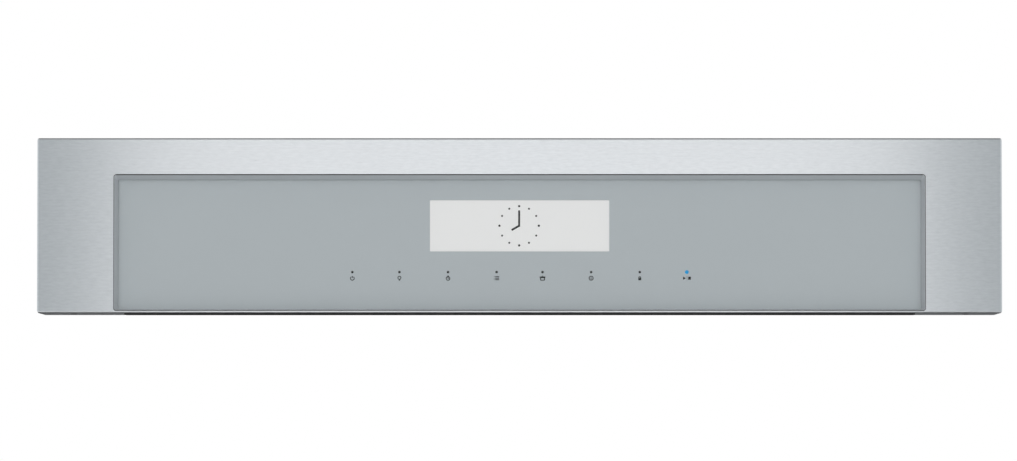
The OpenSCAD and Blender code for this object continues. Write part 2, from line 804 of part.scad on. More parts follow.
module touch_screws() color([0.35, 0.35, 0.37])
  for (p = touch_screws_at)
    pan_screw(p[0], p[1], y_touch_back, small_screw_d, touch_t + touch_bite, small_head_d, small_head_h);

module ribbon_cable() color([0.75, 0.76, 0.78]) {
  r = (y_board - y_touch_back - ribbon_t)/2;
  translate([ribbon_x, y_touch_back + ribbon_t/2 + r, touch_zc + ribbon_drop])
    mirror([0, 0, 1]) strap_loop(ribbon_w, ribbon_t, r, ribbon_run, ribbon_run);
}

module control_board() color([0.10, 0.35, 0.22]) difference() {
  slab(-board_w/2, board_w/2, bay_zc - board_h/2, bay_zc + board_h/2, y_board, y_board_back, board_r);
  for (p = board_screws_at) bore(p[0], p[1], y_board, y_board_back, small_hole_d);
}

module processor_chips() color([0.13, 0.13, 0.14]) {
  z = bay_zc + processor_up;
  chip(0, z, y_board_back, processor_w, processor_w, chip_t, processor_legs);
  for (s = sides) chip(s*processor_out, z, y_board_back, memory_w, memory_h, chip_t, memory_legs);
}

module capacitors() color([0.18, 0.20, 0.26])
  for (i = [0:capacitor_count - 1]) {
    x = supply_x - socket_depth - i*capacitor_pitch;
    rod(x, capacitor_z, y_board_back, y_board_back + capacitor_l - capacitor_ring, capacitor_d);
    translate([x, y_board_back + capacitor_l - capacitor_ring, capacitor_z]) rotate([-90, 0, 0])
      cylinder(h = capacitor_ring, d1 = capacitor_d, d2 = capacitor_d - 2*capacitor_ring);
  }

module regulator_coil() color([0.45, 0.28, 0.14]) {
  rod(coil_x, capacitor_z, y_board_back, y_board_back + coil_l, coil_d - 2*capacitor_ring);
  for (y = [y_board_back, y_board_back + coil_l - capacitor_ring])
    rod(coil_x, capacitor_z, y, y + capacitor_ring, coil_d);
}

module buzzer() color([0.12, 0.12, 0.12]) difference() {
  y_end = y_board_back + buzzer_l;
  rod(buzzer_x, capacitor_z, y_board_back, y_end, buzzer_d);
  rod(buzzer_x, capacitor_z, y_end - buzzer_mouth, y_end + over, buzzer_mouth);
}

// An upright pin socket on the board's back, open to the rear
module pin_socket(x, pins, pitch, h) {
  w = pins*pitch + 2*socket_wall;
  difference() {
    translate([x - w/2, y_board_back, socket_z - h/2]) cube([w, socket_l, h]);
    translate([x - w/2 + socket_wall, y_board_back + socket_floor, socket_z - h/2 + socket_wall])
      cube([w - 2*socket_wall, socket_l, h - 2*socket_wall]);
    // key slot in the upper wall
    translate([x - pitch/2, y_board_back + socket_floor + socket_wall, socket_z + h/2 - socket_wall - over])
      cube([pitch, socket_l, socket_wall + 2*over]);
  }
  for (i = [0:pins - 1])
    translate([x + (i - (pins - 1)/2)*pitch - pin_w/2, y_board_back + socket_floor - pin_w,
               socket_z - pin_w/2])
      cube([pin_w, socket_l - socket_floor - pin_recess, pin_w]);
}

module supply_connector() color([0.88, 0.87, 0.82]) pin_socket(supply_x, supply_pins, supply_pitch, supply_h);
module bus_connector() color([0.20, 0.35, 0.62]) pin_socket(bus_x, bus_pins, pin_pitch, bus_h);

module board_screws() color([0.35, 0.35, 0.37])
  for (p = board_screws_at)
    pan_screw(p[0], p[1], y_board_back, small_screw_d, board_t + board_bite, small_head_d, small_head_h);

// One upright slot with round ends, through the cover's back
module air_slot(x, z) {
  for (s = sides) rod(x, z + s*(slot_h - slot_w)/2, cover_back - cover_t - over, cover_back + over, slot_w);
  translate([x - slot_w/2, cover_back - cover_t - over, z - (slot_h - slot_w)/2])
    cube([slot_w, cover_t + 2*over, slot_h - slot_w]);
}

module rear_cover() color([0.72, 0.73, 0.74]) difference() {
  union() {
    slab(-cover_w/2, cover_w/2, bay_zc - cover_h/2, bay_zc + cover_h/2, y_cover, cover_back, cover_r);
    slab(-cover_w/2 - cover_lip_w, cover_w/2 + cover_lip_w, bay_zc - cover_h/2 - cover_lip_w,
         bay_zc + cover_h/2 + cover_lip_w, y_cover, y_cover + cover_t, cover_r + cover_lip_w);
  }
  slab(-cover_w/2 + cover_t, cover_w/2 - cover_t, bay_zc - cover_h/2 + cover_t, bay_zc + cover_h/2 - cover_t,
       y_cover - over, cover_back - cover_t, cover_r - cover_t);
  for (s = sides, i = [0:slot_columns - 1], j = [0:slot_rows - 1])
    air_slot(s*slot_field_x + (i - (slot_columns - 1)/2)*slot_pitch,
             slot_zc + (j - (slot_rows - 1)/2)*slot_row_pitch);
  socket_window(supply_x, supply_pins, supply_pitch, supply_h);
  socket_window(bus_x, bus_pins, pin_pitch, bus_h);
  for (p = cover_screws_at) bore(p[0], p[1], y_cover, y_cover + cover_t, screw_hole_d);
}

module socket_window(x, pins, pitch, h) {
  w = pins*pitch + 2*socket_wall + 2*socket_clear;
  translate([x - w/2, cover_back - cover_t - over, socket_z - h/2 - socket_clear])
    cube([w, cover_t + 2*over, h + 2*socket_clear]);
}

module cover_screws() color([0.78, 0.78, 0.75])
  for (p = cover_screws_at)
    pan_screw(p[0], p[1], y_cover + cover_t, screw_d, cover_t + screw_bite, screw_head_d, screw_head_h);

// Folded bracket on the viewer's right: front flange, web, back flange and bottom tab
module bracket() {
  difference() {
    union() {
      translate([0, 0, -bracket_h/2]) linear_extrude(height = bracket_h) bracket_section();
      // tab under the web, which takes the bottom screw
      translate([bracket_x1 - tab_w, tab_y0, z_bot + sheet_t]) cube([tab_w, tab_l, bracket_t]);
      translate([bracket_x1 - bracket_t, tab_y0, z_bot + sheet_t])
        cube([bracket_t, tab_l, -bracket_h/2 - z_bot - sheet_t + over]);
    }
    for (z = sides) rod(bolt_span_x/2, z*bolt_span_z/2, -bracket_t - over, over, bolt_hole_d);
    for (z = sides)
      bore(x_half - bracket_stud_in, z*bracket_stud_z, y_sheet, y_sheet + bracket_t, stud_hole_d);
    // weight-saving hole in the web
    translate([bracket_x1 - bracket_t - over, y_front/2, 0]) rotate([0, 90, 0])
      cylinder(h = bracket_t + 2*over, d = web_hole_d);
    translate([bottom_screw_x, bottom_screw_y, z_bot])
      cylinder(h = sheet_t + bracket_t + over, d = screw_d + 2*sink_play);
  }
}

module bracket_section() {
  r = bracket_bend_r + bracket_t;
  difference() {
    translate([(bracket_x1 - bracket_reach + bracket_x1)/2, y_sheet/2])
      round_rect(bracket_reach, -y_sheet, r);
    translate([(2*bracket_x1 - bracket_reach)/2 - bracket_t, y_sheet/2])
      round_rect(bracket_reach, -y_sheet - 2*bracket_t, bracket_bend_r);
    translate([bracket_x1 - bracket_reach - over, y_sheet - over]) square([r + over, -y_sheet + 2*over]);
    translate([bracket_x1 - bracket_reach - over, y_sheet - over])
      square([bracket_reach - bracket_lap + over, -y_sheet/2 + over]);
  }
}

module right_bracket() color([0.70, 0.71, 0.70]) bracket();
module left_bracket() color([0.70, 0.71, 0.70]) difference() {
  mirror([1, 0, 0]) bracket();
  bore(earth_x, earth_z, y_sheet, y_sheet + bracket_t, screw_d + 2*guide_clear);
}

// Section of a folded angle whose outer corner lies at the origin, in depth and height
module angle_section(depth, drop, t, r) {
  translate([-depth, -t]) square([depth - r, t]);
  translate([-t, -drop]) square([t, drop - r]);
  translate([-r, -r]) difference() {
    circle(r = r);
    circle(r = r - t);
    translate([-2*r, -2*r]) square([2*r, 4*r]);
    translate([-r, -2*r]) square([4*r, 2*r]);
  }
}

module top_rail() color([0.70, 0.71, 0.70]) difference() {
  slot_z = z_top - sheet_t - rail_drop/2 - rail_t;
  translate([-rail_x, 0, z_top - sheet_t]) rotate([90, 0, 90]) linear_extrude(height = 2*rail_x)
    angle_section(rail_depth, rail_drop, rail_t, bracket_bend_r + rail_t);
  for (i = [0:rail_slots - 1])
    translate([(i - (rail_slots - 1)/2)*2*rail_x/rail_slots, 0, slot_z])
      slab(-rail_slot_w/2, rail_slot_w/2, -rail_slot_h/2, rail_slot_h/2, -rail_t - over, over, rail_slot_h/2);
}

module bottom_screws() color([0.25, 0.25, 0.27])
  for (s = sides) translate([s*bottom_screw_x, bottom_screw_y, z_bot]) difference() {
    union() {
      cylinder(h = sheet_t, d1 = sink_head_d, d2 = screw_d);
      cylinder(h = sheet_t + bracket_t + screw_tip, d = screw_d);
    }
    for (a = [0, 90]) rotate([0, 0, a])
      cube([sink_head_d*recess_share, sink_head_d*recess_share/4, sheet_t], center = true);
  }

// Black strip let into the underside, with air slots and tabs on the carrier's floor
module air_guide() color([0.06, 0.06, 0.07]) difference() {
  union() {
    translate([-vent_x + guide_play, vent_y0 + guide_play, z_bot + guide_sink])
      cube([2*(vent_x - guide_play), vent_y1 - vent_y0 - 2*guide_play, guide_t]);
    // upright rib behind the carrier's floor, and its screw tabs
    translate([-vent_x + guide_rib_in, y_floor_back, z_bot + guide_sink])
      cube([2*(vent_x - guide_rib_in), guide_t, guide_rib_h]);
    for (x = guide_tabs_at)
      slab(x - guide_tab_w/2, x + guide_tab_w/2, z_bot + guide_sink, guide_tab_z + guide_tab_w/2,
           y_floor_back, y_floor_back + guide_t, guide_tab_r);
  }
  for (i = [0:guide_slots - 1])
    translate([(i - (guide_slots - 1)/2)*guide_slot_pitch - guide_slot_w/2,
               y_floor_back + guide_t + guide_slot_back, z_bot - over])
      cube([guide_slot_w, guide_slot_l, guide_t + guide_sink + 2*over]);
  for (x = guide_tabs_at) bore(x, guide_tab_z, y_floor_back, y_floor_back + guide_t, small_hole_d);
}

module air_guide_screws() color([0.35, 0.35, 0.37])
  for (x = guide_tabs_at)
    pan_screw(x, guide_tab_z, y_floor_back + guide_t, small_screw_d, guide_t + carrier_floor_t - guide_clear,
              small_head_d, small_head_h);

// Brass blade for the earth wire, on the left bracket's front flange
module earth_tab() color([0.80, 0.68, 0.35]) difference() {
  union() {
    slab(earth_x - blade_w/2, earth_x + blade_w/2, earth_z - blade_w/2, earth_z + blade_w/2,
         y_sheet + bracket_t, y_sheet + bracket_t + blade_t, blade_t);
    translate([earth_x - blade_w/2, y_sheet + bracket_t, earth_z + blade_w/2 - blade_t])
      cube([blade_w, blade_l, blade_t]);
  }
  rod(earth_x, earth_z, y_sheet, 0, screw_d + 2*guide_clear);
  translate([earth_x, y_sheet + bracket_t + blade_l - blade_w/2, earth_z])
    cylinder(h = blade_w, d = blade_hole_d);
}

module earth_screw() color([0.78, 0.78, 0.75])
  pan_screw(earth_x, earth_z, y_sheet + bracket_t + blade_t, screw_d, blade_t + bracket_t - guide_clear,
            blade_w*blade_head_share, small_head_h);

fascia();
fascia_studs();
stud_nuts();
glass_bezel();
glass_panel();
glass_print();
adhesive_tape();
carrier_frame();
display_gasket();
display_frame();
display_cell();
backlight_guide();
backlight_strip();
display_tray();
tray_screws();
display_flex();
light_guides();
touch_pads();
touch_board();
key_lamps();
touch_chip();
touch_screws();
ribbon_cable();
control_board();
processor_chips();
capacitors();
regulator_coil();
buzzer();
supply_connector();
bus_connector();
board_screws();
rear_cover();
cover_screws();
left_bracket();
right_bracket();
top_rail();
bottom_screws();
air_guide();
air_guide_screws();
earth_tab();
earth_screw();
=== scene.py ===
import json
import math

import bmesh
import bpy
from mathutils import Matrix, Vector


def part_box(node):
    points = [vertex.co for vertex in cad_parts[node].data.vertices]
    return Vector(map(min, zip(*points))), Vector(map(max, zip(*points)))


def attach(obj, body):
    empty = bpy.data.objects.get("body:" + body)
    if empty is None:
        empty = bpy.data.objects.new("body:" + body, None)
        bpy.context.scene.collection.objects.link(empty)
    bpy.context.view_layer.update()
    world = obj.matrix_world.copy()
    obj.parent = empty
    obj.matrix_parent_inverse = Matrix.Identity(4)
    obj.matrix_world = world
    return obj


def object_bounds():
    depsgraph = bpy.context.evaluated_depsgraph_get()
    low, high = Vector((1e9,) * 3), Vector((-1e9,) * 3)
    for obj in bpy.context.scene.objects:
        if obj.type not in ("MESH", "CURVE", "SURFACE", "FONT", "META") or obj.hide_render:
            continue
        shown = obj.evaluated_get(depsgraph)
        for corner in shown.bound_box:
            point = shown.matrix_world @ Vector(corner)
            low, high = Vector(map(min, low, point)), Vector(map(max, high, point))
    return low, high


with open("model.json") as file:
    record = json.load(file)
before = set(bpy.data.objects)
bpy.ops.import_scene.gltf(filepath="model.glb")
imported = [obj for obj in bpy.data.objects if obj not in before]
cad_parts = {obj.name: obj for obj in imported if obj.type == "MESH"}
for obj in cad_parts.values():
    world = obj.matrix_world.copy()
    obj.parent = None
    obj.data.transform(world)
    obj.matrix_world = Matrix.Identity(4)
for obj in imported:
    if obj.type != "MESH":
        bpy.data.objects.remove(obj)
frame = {"nodes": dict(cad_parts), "record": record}

# %% [markdown]
# # The control panel of a built-in speed oven
# The object is a folded stainless front with a sunk glass touch panel. Its construction comes in as
# fixed parts, and this script gives every part its finish, adds the printed signs and the clock,
# lights it like a plain studio picture and sets the camera where the photograph's stood.
# All lengths are metres. MM turns a length in millimetres into metres.

MM = 0.001
ROOT = "root"
cad_box = [list(corner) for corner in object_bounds()]
print("object as it comes in:", [[round(v, 4) for v in corner] for corner in cad_box])

# %% [markdown]
# The camera comes first, because every later choice is judged in its picture. The photograph shows
# the panel straight from the front and a little from below: the sides are upright, a thin line of
# the underside shows, and the sunk glass hides a little of its lower edge. A long lens far away
# gives those parallel edges. The lens length follows from one known size, the width of the front,
# and from the number of pixels that it takes up in the picture.

# %% Camera at the photograph's viewing angle
PICTURE_W, PICTURE_H = 1017, 461
FACE_LEFT, FACE_RIGHT = 37.17, 1001.99
FACE_TOP, FACE_BOTTOM = 137.98, 312.66
CAMERA_DISTANCE = 10.0
CAMERA_BELOW = math.radians(4.4)
SENSOR_W = 36.0


def new_object(name, data):
    """Puts a camera, a mesh or a lamp into the scene as an object."""
    item = bpy.data.objects.new(name, data)
    bpy.context.scene.collection.objects.link(item)
    return item


fascia_lo, fascia_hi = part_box("fascia")
face_w = fascia_hi[0] - fascia_lo[0]
face_centre = Vector((0.0, fascia_lo[1], (fascia_lo[2] + fascia_hi[2])/2))
face_share = (FACE_RIGHT - FACE_LEFT)/PICTURE_W

camera_data = bpy.data.cameras.new("camera")
camera_data.sensor_width = SENSOR_W
camera_data.lens = CAMERA_DISTANCE*face_share*SENSOR_W/face_w
camera_data.shift_x = (PICTURE_W/2 - (FACE_LEFT + FACE_RIGHT)/2)/PICTURE_W
camera_data.shift_y = ((FACE_TOP + FACE_BOTTOM)/2 - PICTURE_H/2)/PICTURE_W
camera_data.clip_end = 50
camera = new_object("camera", camera_data)
to_camera = Vector((0, -math.cos(CAMERA_BELOW), -math.sin(CAMERA_BELOW)))
camera.location = face_centre + CAMERA_DISTANCE*to_camera
camera.rotation_euler = (-to_camera).to_track_quat("-Z", "Y").to_euler()
bpy.context.scene.camera = camera
bpy.context.scene.view_settings.view_transform = "Standard"
print("lens", round(camera_data.lens, 1), "mm, shift", round(camera_data.shift_x, 4),
      round(camera_data.shift_y, 4))

# %% [markdown]
# Materials are node trees. These small helpers keep each tree short. They make a material with its
# Principled shader and plain socket values, add a node, join two sockets, do a sum, split a vector,
# and make and place a group.

# %% Helpers for node trees
def new_material(name, **sockets):
    """A material with a Principled shader whose plain sockets are set directly."""
    material = bpy.data.materials.new(name)
    material.use_nodes = True
    shader = material.node_tree.nodes["Principled BSDF"]
    for socket, value in sockets.items():
        shader.inputs[socket.replace("_", " ")].default_value = value
    return material, material.node_tree, shader


def add_node(tree, kind, **settings):
    """A node of one kind, with its settings, and its input values by socket name or number."""
    node = tree.nodes.new(kind)
    inputs = settings.pop("inputs", {})
    for key, value in settings.items():
        setattr(node, key, value)
    for key, value in inputs.items():
        node.inputs[key].default_value = value
    return node


def join(tree, source, target):
    tree.links.new(source, target)


def math_node(tree, operation, first, second=None):
    """A Math node on two values, each either a number or another node's output."""
    node = add_node(tree, "ShaderNodeMath", operation=operation)
    for index, value in enumerate([first, second]):
        if value is None:
            continue
        if isinstance(value, (int, float)):
            node.inputs[index].default_value = value
        else:
            join(tree, value, node.inputs[index])
    return node.outputs[0]


def split_vector(tree, source):
    """The three numbers of a vector, as outputs X, Y and Z."""
    split = add_node(tree, "ShaderNodeSeparateXYZ")
    join(tree, source, split.inputs[0])
    return split.outputs


def new_group(name, inputs, outputs):
    """An empty shader node group with named number inputs and outputs."""
    group = bpy.data.node_groups.new(name, "ShaderNodeTree")
    for title, value in inputs.items():
        socket = group.interface.new_socket(title, in_out="INPUT", socket_type="NodeSocketFloat")
        socket.default_value = value
    for title in outputs:
        group.interface.new_socket(title, in_out="OUTPUT", socket_type="NodeSocketFloat")
    return group, group.nodes.new("NodeGroupInput"), group.nodes.new("NodeGroupOutput")


def place_group(tree, group, **values):
    """One copy of a node group inside a material, with this material's own values."""
    node = add_node(tree, "ShaderNodeGroup", node_tree=group)
    for title, value in values.items():
        node.inputs[title.replace("_", " ")].default_value = value
    return node

# %% [markdown]
# Brushed sheet has fine scratches that all run one way. A group makes that grain once, as noise that
# is stretched along the sheet. It gives two strengths: long hair-thin scratches, and the short wider
# strokes that still show from a step away, whose size was judged against the photograph. On the
# front and the folded sides the scratches run across the panel, so the noise changes quickly with
# height. On the folded top and bottom it has to change with depth, so depth is added wherever the
# surface looks up or down.

# %% Group: grain of brushed sheet
STROKE_LENGTH_SHARE, STROKE_WIDTH_SHARE = 0.14, 4.5


def make_brush_grain():
    group, start, end = new_group("brush_grain", {"Scratch length": 0.05, "Scratch width": 0.0004},
                                  ["Fine", "Short"])
    place = split_vector(group, add_node(group, "ShaderNodeTexCoord").outputs["Object"])
    facing = split_vector(group, add_node(group, "ShaderNodeNewGeometry").outputs["True Normal"])
    flat = math_node(group, "POWER", facing["Z"], 2)
    depth_across = math_node(group, "MULTIPLY", place["Y"], flat)
    depth_along = math_node(group, "SUBTRACT", place["Y"], depth_across)
    across = math_node(group, "ADD", place["Z"], depth_across)
    along = math_node(group, "ADD", place["X"], depth_along)
    for title, longer, wider in [("Fine", 1, 1), ("Short", STROKE_LENGTH_SHARE, STROKE_WIDTH_SHARE)]:
        length = math_node(group, "MULTIPLY", start.outputs["Scratch length"], longer)
        width = math_node(group, "MULTIPLY", start.outputs["Scratch width"], wider)
        along_scaled = math_node(group, "DIVIDE", along, length)
        across_scaled = math_node(group, "DIVIDE", across, width)
        vector = add_node(group, "ShaderNodeCombineXYZ")
        join(group, along_scaled, vector.inputs["X"])
        join(group, across_scaled, vector.inputs["Z"])
        noise = add_node(group, "ShaderNodeTexNoise", inputs={"Scale": 1, "Detail": 3, "Roughness": 0.6})
        join(group, vector.outputs[0], noise.inputs["Vector"])
        join(group, noise.outputs["Fac"], end.inputs[title])
    return group


brush_grain = make_brush_grain()
print("group", brush_grain.name, "ready")

# %% [markdown]
# Moulded plastic has a fine leathery grain, and cast or rolled parts have soft blotches. Both are
# plain noise at two scales. The third group finds edges: the Bevel node rounds the normal near an
# edge, and where the rounded normal leans away from the true one, the edge is worn a little brighter.
# The fourth lays a trace of dust on what looks upwards; where its share is raised, as on the bezel, it also
# paints light on those upward faces.

# %% Groups: plastic grain, edge wear, and dust that also paints light on upward faces
BLOTCH_TO_GRAIN = 40
WEAR_GAIN = 4.0


def make_surface_noise():
    group, start, end = new_group("surface_noise", {"Size": 0.001}, ["Fine", "Blotch"])
    place = add_node(group, "ShaderNodeTexCoord")
    for title, coarser, detail in [("Fine", 1, 2), ("Blotch", BLOTCH_TO_GRAIN, 4)]:
        scale = math_node(group, "DIVIDE", 1.0, math_node(group, "MULTIPLY", start.outputs["Size"], coarser))
        noise = add_node(group, "ShaderNodeTexNoise", inputs={"Detail": detail})
        join(group, place.outputs["Object"], noise.inputs["Vector"])
        join(group, scale, noise.inputs["Scale"])
        join(group, noise.outputs["Fac"], end.inputs[title])
    return group


def make_edge_wear():
    group, start, end = new_group("edge_wear", {"Width": 0.0004}, ["Edge"])
    rounded = add_node(group, "ShaderNodeBevel", samples=4)
    join(group, start.outputs["Width"], rounded.inputs["Radius"])
    facing = add_node(group, "ShaderNodeNewGeometry")
    lean = add_node(group, "ShaderNodeVectorMath", operation="DOT_PRODUCT")
    join(group, rounded.outputs[0], lean.inputs[0])
    join(group, facing.outputs["Normal"], lean.inputs[1])
    away = math_node(group, "SUBTRACT", 1.0, lean.outputs["Value"])
    sharp = math_node(group, "MULTIPLY", away, WEAR_GAIN)
    limit = add_node(group, "ShaderNodeClamp")
    join(group, sharp, limit.inputs["Value"])
    join(group, limit.outputs[0], end.inputs["Edge"])
    return group


def make_dust_and_top_light():
    # Dust on what looks upwards; a high amount also paints light there.
    group, start, end = new_group("dust_and_top_light", {"Amount": 0.3}, ["Dust"])
    facing = split_vector(group, add_node(group, "ShaderNodeNewGeometry").outputs["Normal"])
    upward = math_node(group, "MAXIMUM", facing["Z"], 0.0)
    place = add_node(group, "ShaderNodeTexCoord")
    noise = add_node(group, "ShaderNodeTexNoise", inputs={"Scale": 260, "Detail": 4, "Roughness": 0.7})
    join(group, place.outputs["Object"], noise.inputs["Vector"])
    patchy = math_node(group, "MULTIPLY", upward, noise.outputs["Fac"])
    join(group, math_node(group, "MULTIPLY", patchy, start.outputs["Amount"]), end.inputs["Dust"])
    return group


surface_noise, edge_wear, dust_and_top_light = make_surface_noise(), make_edge_wear(), make_dust_and_top_light()
print("groups", surface_noise.name, edge_wear.name, dust_and_top_light.name, "ready")

# %% [markdown]
# Four helpers turn those masks into what the shader reads: a colour that swings between two tones,
# a flat colour laid over another, a roughness that swings between two values, and a bump of a real
# height.

# %% Helpers: tone, range and bump from a mask
MIX_FIRST, MIX_SECOND, MIX_RESULT = 6, 7, 2    # numbers of a Mix node's colour sockets


def tone_between(tree, mask, dark, light):
    """A colour that swings between two tones as the mask does."""
    mix = add_node(tree, "ShaderNodeMix", data_type="RGBA",
                   inputs={MIX_FIRST: (*dark, 1), MIX_SECOND: (*light, 1)})
    join(tree, mask, mix.inputs["Factor"])
    return mix.outputs[MIX_RESULT]


def tone_over(tree, base, mask, colour):
    """Lays one flat colour over a changing one wherever the mask is on."""
    mix = add_node(tree, "ShaderNodeMix", data_type="RGBA", inputs={MIX_SECOND: (*colour, 1)})
    join(tree, mask, mix.inputs["Factor"])
    join(tree, base, mix.inputs[MIX_FIRST])
    return mix.outputs[MIX_RESULT]


def range_between(tree, mask, low, high, target):
    """A plain value that swings between two others and goes to one socket."""
    spread = add_node(tree, "ShaderNodeMapRange", inputs={"To Min": low, "To Max": high})
    join(tree, mask, spread.inputs["Value"])
    join(tree, spread.outputs[0], target)


def bump_from(tree, shader, mask, height):
    """A bump of a real height, in metres."""
    bump = add_node(tree, "ShaderNodeBump", inputs={"Distance": height, "Strength": 1.0})
    join(tree, mask, bump.inputs["Height"])
    join(tree, bump.outputs[0], shader.inputs["Normal"])

# %% [markdown]
# Brushed stainless. Its scratches act like a row of tiny mirrored grooves: light is thrown wide
# across them and stays narrow along them. That is anisotropy, and the tangent says which way the
# spread runs. Crossing the surface normal with the direction of the grooves gives that tangent: it is
# upright on the front and on the folded sides, and runs from front to back on the folded top.
# On the underside, the narrow rear edge behind the air guide is painted black: the photograph shows
# one dark line there that reaches the rear.

# %% Material: brushed stainless
STEEL_DARK, STEEL_LIGHT, STEEL_WORN = (0.620, 0.648, 0.672), (0.895, 0.923, 0.947), (0.80, 0.81, 0.82)
SCRATCH_SHARE, STROKE_SHARE = 0.35, 0.65
STEEL_SMOOTH, STEEL_ROUGH = 0.22, 0.40
SCRATCH_DEPTH = 0.003*MM
GROOVE_ALONG = (1.0, 0.3, 0.0)
EDGE_PAINT = (0.012, 0.013, 0.014)
PAINT_HALF, PAINT_FRONT, PAINT_UP = 310.1*MM, -12*MM, 0.9*MM
PLAIN_SPECULAR = 0.5


def make_painted_mask(tree):
    """On for the rear edge of the underside, between the ends of the air guide."""
    place = split_vector(tree, add_node(tree, "ShaderNodeTexCoord").outputs["Object"])
    within = math_node(tree, "LESS_THAN", math_node(tree, "ABSOLUTE", place["X"]), PAINT_HALF)
    behind = math_node(tree, "GREATER_THAN", place["Y"], PAINT_FRONT)
    low = math_node(tree, "LESS_THAN", place["Z"], fascia_lo[2] + PAINT_UP)
    return math_node(tree, "MULTIPLY", math_node(tree, "MULTIPLY", within, behind), low)


def make_stainless():
    material, tree, shader = new_material("brushed_stainless", Metallic=1.0, Anisotropic=0.82, IOR=2.5)
    grain = place_group(tree, brush_grain, Scratch_length=0.045, Scratch_width=0.00035)
    wear = place_group(tree, edge_wear, Width=0.0005)
    both = math_node(tree, "ADD", math_node(tree, "MULTIPLY", grain.outputs["Fine"], SCRATCH_SHARE),
                     math_node(tree, "MULTIPLY", grain.outputs["Short"], STROKE_SHARE))
    colour = tone_between(tree, both, STEEL_DARK, STEEL_LIGHT)
    colour = tone_over(tree, colour, wear.outputs["Edge"], STEEL_WORN)
    painted = make_painted_mask(tree)
    join(tree, tone_over(tree, colour, painted, EDGE_PAINT), shader.inputs["Base Color"])
    bare = math_node(tree, "SUBTRACT", 1, painted)
    join(tree, bare, shader.inputs["Metallic"])
    join(tree, math_node(tree, "MULTIPLY", bare, PLAIN_SPECULAR), shader.inputs["Specular IOR Level"])
    range_between(tree, both, STEEL_SMOOTH, STEEL_ROUGH, shader.inputs["Roughness"])
    bump_from(tree, shader, grain.outputs["Fine"], SCRATCH_DEPTH)
    facing = add_node(tree, "ShaderNodeNewGeometry")
    groove = add_node(tree, "ShaderNodeVectorMath", operation="CROSS_PRODUCT")
    join(tree, facing.outputs["Normal"], groove.inputs[0])
    groove.inputs[1].default_value = GROOVE_ALONG
    join(tree, groove.outputs[0], shader.inputs["Tangent"])
    return material


stainless = make_stainless()
print("material", stainless.name)

# %% [markdown]
# The glass is clear. The silver-grey that the photograph shows is a print on its back, seen through
# four millimetres of glass. The photograph shows almost no mirror image in it, as glass with an
# anti-glare coat does, and the low index stands for that coat. So that lamps can light the print, the
# glass lets shadow rays and scattered light straight through, which real glass nearly does.

# %% Materials: clear glass and the silver-grey print behind it
GLASS_TINT, LIGHT_THROUGH = (0.97, 0.985, 0.98), (0.95, 0.965, 0.96)
PRINT_DARK, PRINT_LIGHT = (0.461, 0.486, 0.516), (0.486, 0.510, 0.541)


def make_clear_glass():
    material, tree, shader = new_material("clear_glass", Roughness=0.0, IOR=1.20, Transmission_Weight=1.0)
    shader.inputs["Base Color"].default_value = (*GLASS_TINT, 1)
    clear = add_node(tree, "ShaderNodeBsdfTransparent", inputs={"Color": (*LIGHT_THROUGH, 1)})
    light = add_node(tree, "ShaderNodeLightPath")
    passing = math_node(tree, "MAXIMUM", light.outputs["Is Shadow Ray"], light.outputs["Is Diffuse Ray"])
    mix = add_node(tree, "ShaderNodeMixShader")
    join(tree, passing, mix.inputs["Fac"])
    join(tree, shader.outputs[0], mix.inputs[1])
    join(tree, clear.outputs[0], mix.inputs[2])
    join(tree, mix.outputs[0], tree.nodes["Material Output"].inputs["Surface"])
    return material


def make_print():
    material, tree, shader = new_material("silver_print", Roughness=0.55)
    noise = place_group(tree, surface_noise, Size=0.00025)
    colour = tone_between(tree, noise.outputs["Fine"], PRINT_DARK, PRINT_LIGHT)
    join(tree, colour, shader.inputs["Base Color"])
    return material


clear_glass, silver_print = make_clear_glass(), make_print()
print("materials", clear_glass.name, silver_print.name)

# %% [markdown]
# Plastics, rubber and the boards share one recipe: a colour that drifts a little, a roughness that drifts
# with it, a fine moulded grain as bump, brighter worn edges and a trace of dust, which on the bezel is raised
# to paint light on its upward faces.

# %% Recipe: moulded and coated parts
EDGE_WIDTH = 0.3*MM
DUST_AND_LIGHT_TONE, WORN_SHARE, ROUGH_SWING = (0.62, 0.61, 0.59), 0.6, 0.06


def aged_colour(tree, noise, dark, light, worn_gain, worn_share, dust_and_light_share, dust_and_light_tone):
    """Two tones that drift in blotches, brighter at worn edges and paler under dust, which paints light on
    upward faces where its share is high.
    """
    wear = place_group(tree, edge_wear, Width=EDGE_WIDTH)
    dust_and_light_film = place_group(tree, dust_and_top_light, Amount=dust_and_light_share)
    colour = tone_between(tree, noise.outputs["Blotch"], dark, light)
    worn = tuple(min(1.0, worn_gain*c) for c in light)
    colour = tone_over(tree, colour, math_node(tree, "MULTIPLY", wear.outputs["Edge"], worn_share), worn)
    return tone_over(tree, colour, dust_and_light_film.outputs["Dust"], dust_and_light_tone)


def make_moulded(name, dark, light, rough, grain_mm, bump_mm, edge=0.25, dust_and_light_share=0.22, **sockets):
    material, tree, shader = new_material(name, **sockets)
    noise = place_group(tree, surface_noise, Size=grain_mm*MM)
    colour = aged_colour(tree, noise, dark, light, 1 + edge, WORN_SHARE, dust_and_light_share, DUST_AND_LIGHT_TONE)
    join(tree, colour, shader.inputs["Base Color"])
    range_between(tree, noise.outputs["Fine"], rough - ROUGH_SWING, rough + ROUGH_SWING,
                  shader.inputs["Roughness"])
    bump_from(tree, shader, noise.outputs["Fine"], bump_mm*MM)
    return material


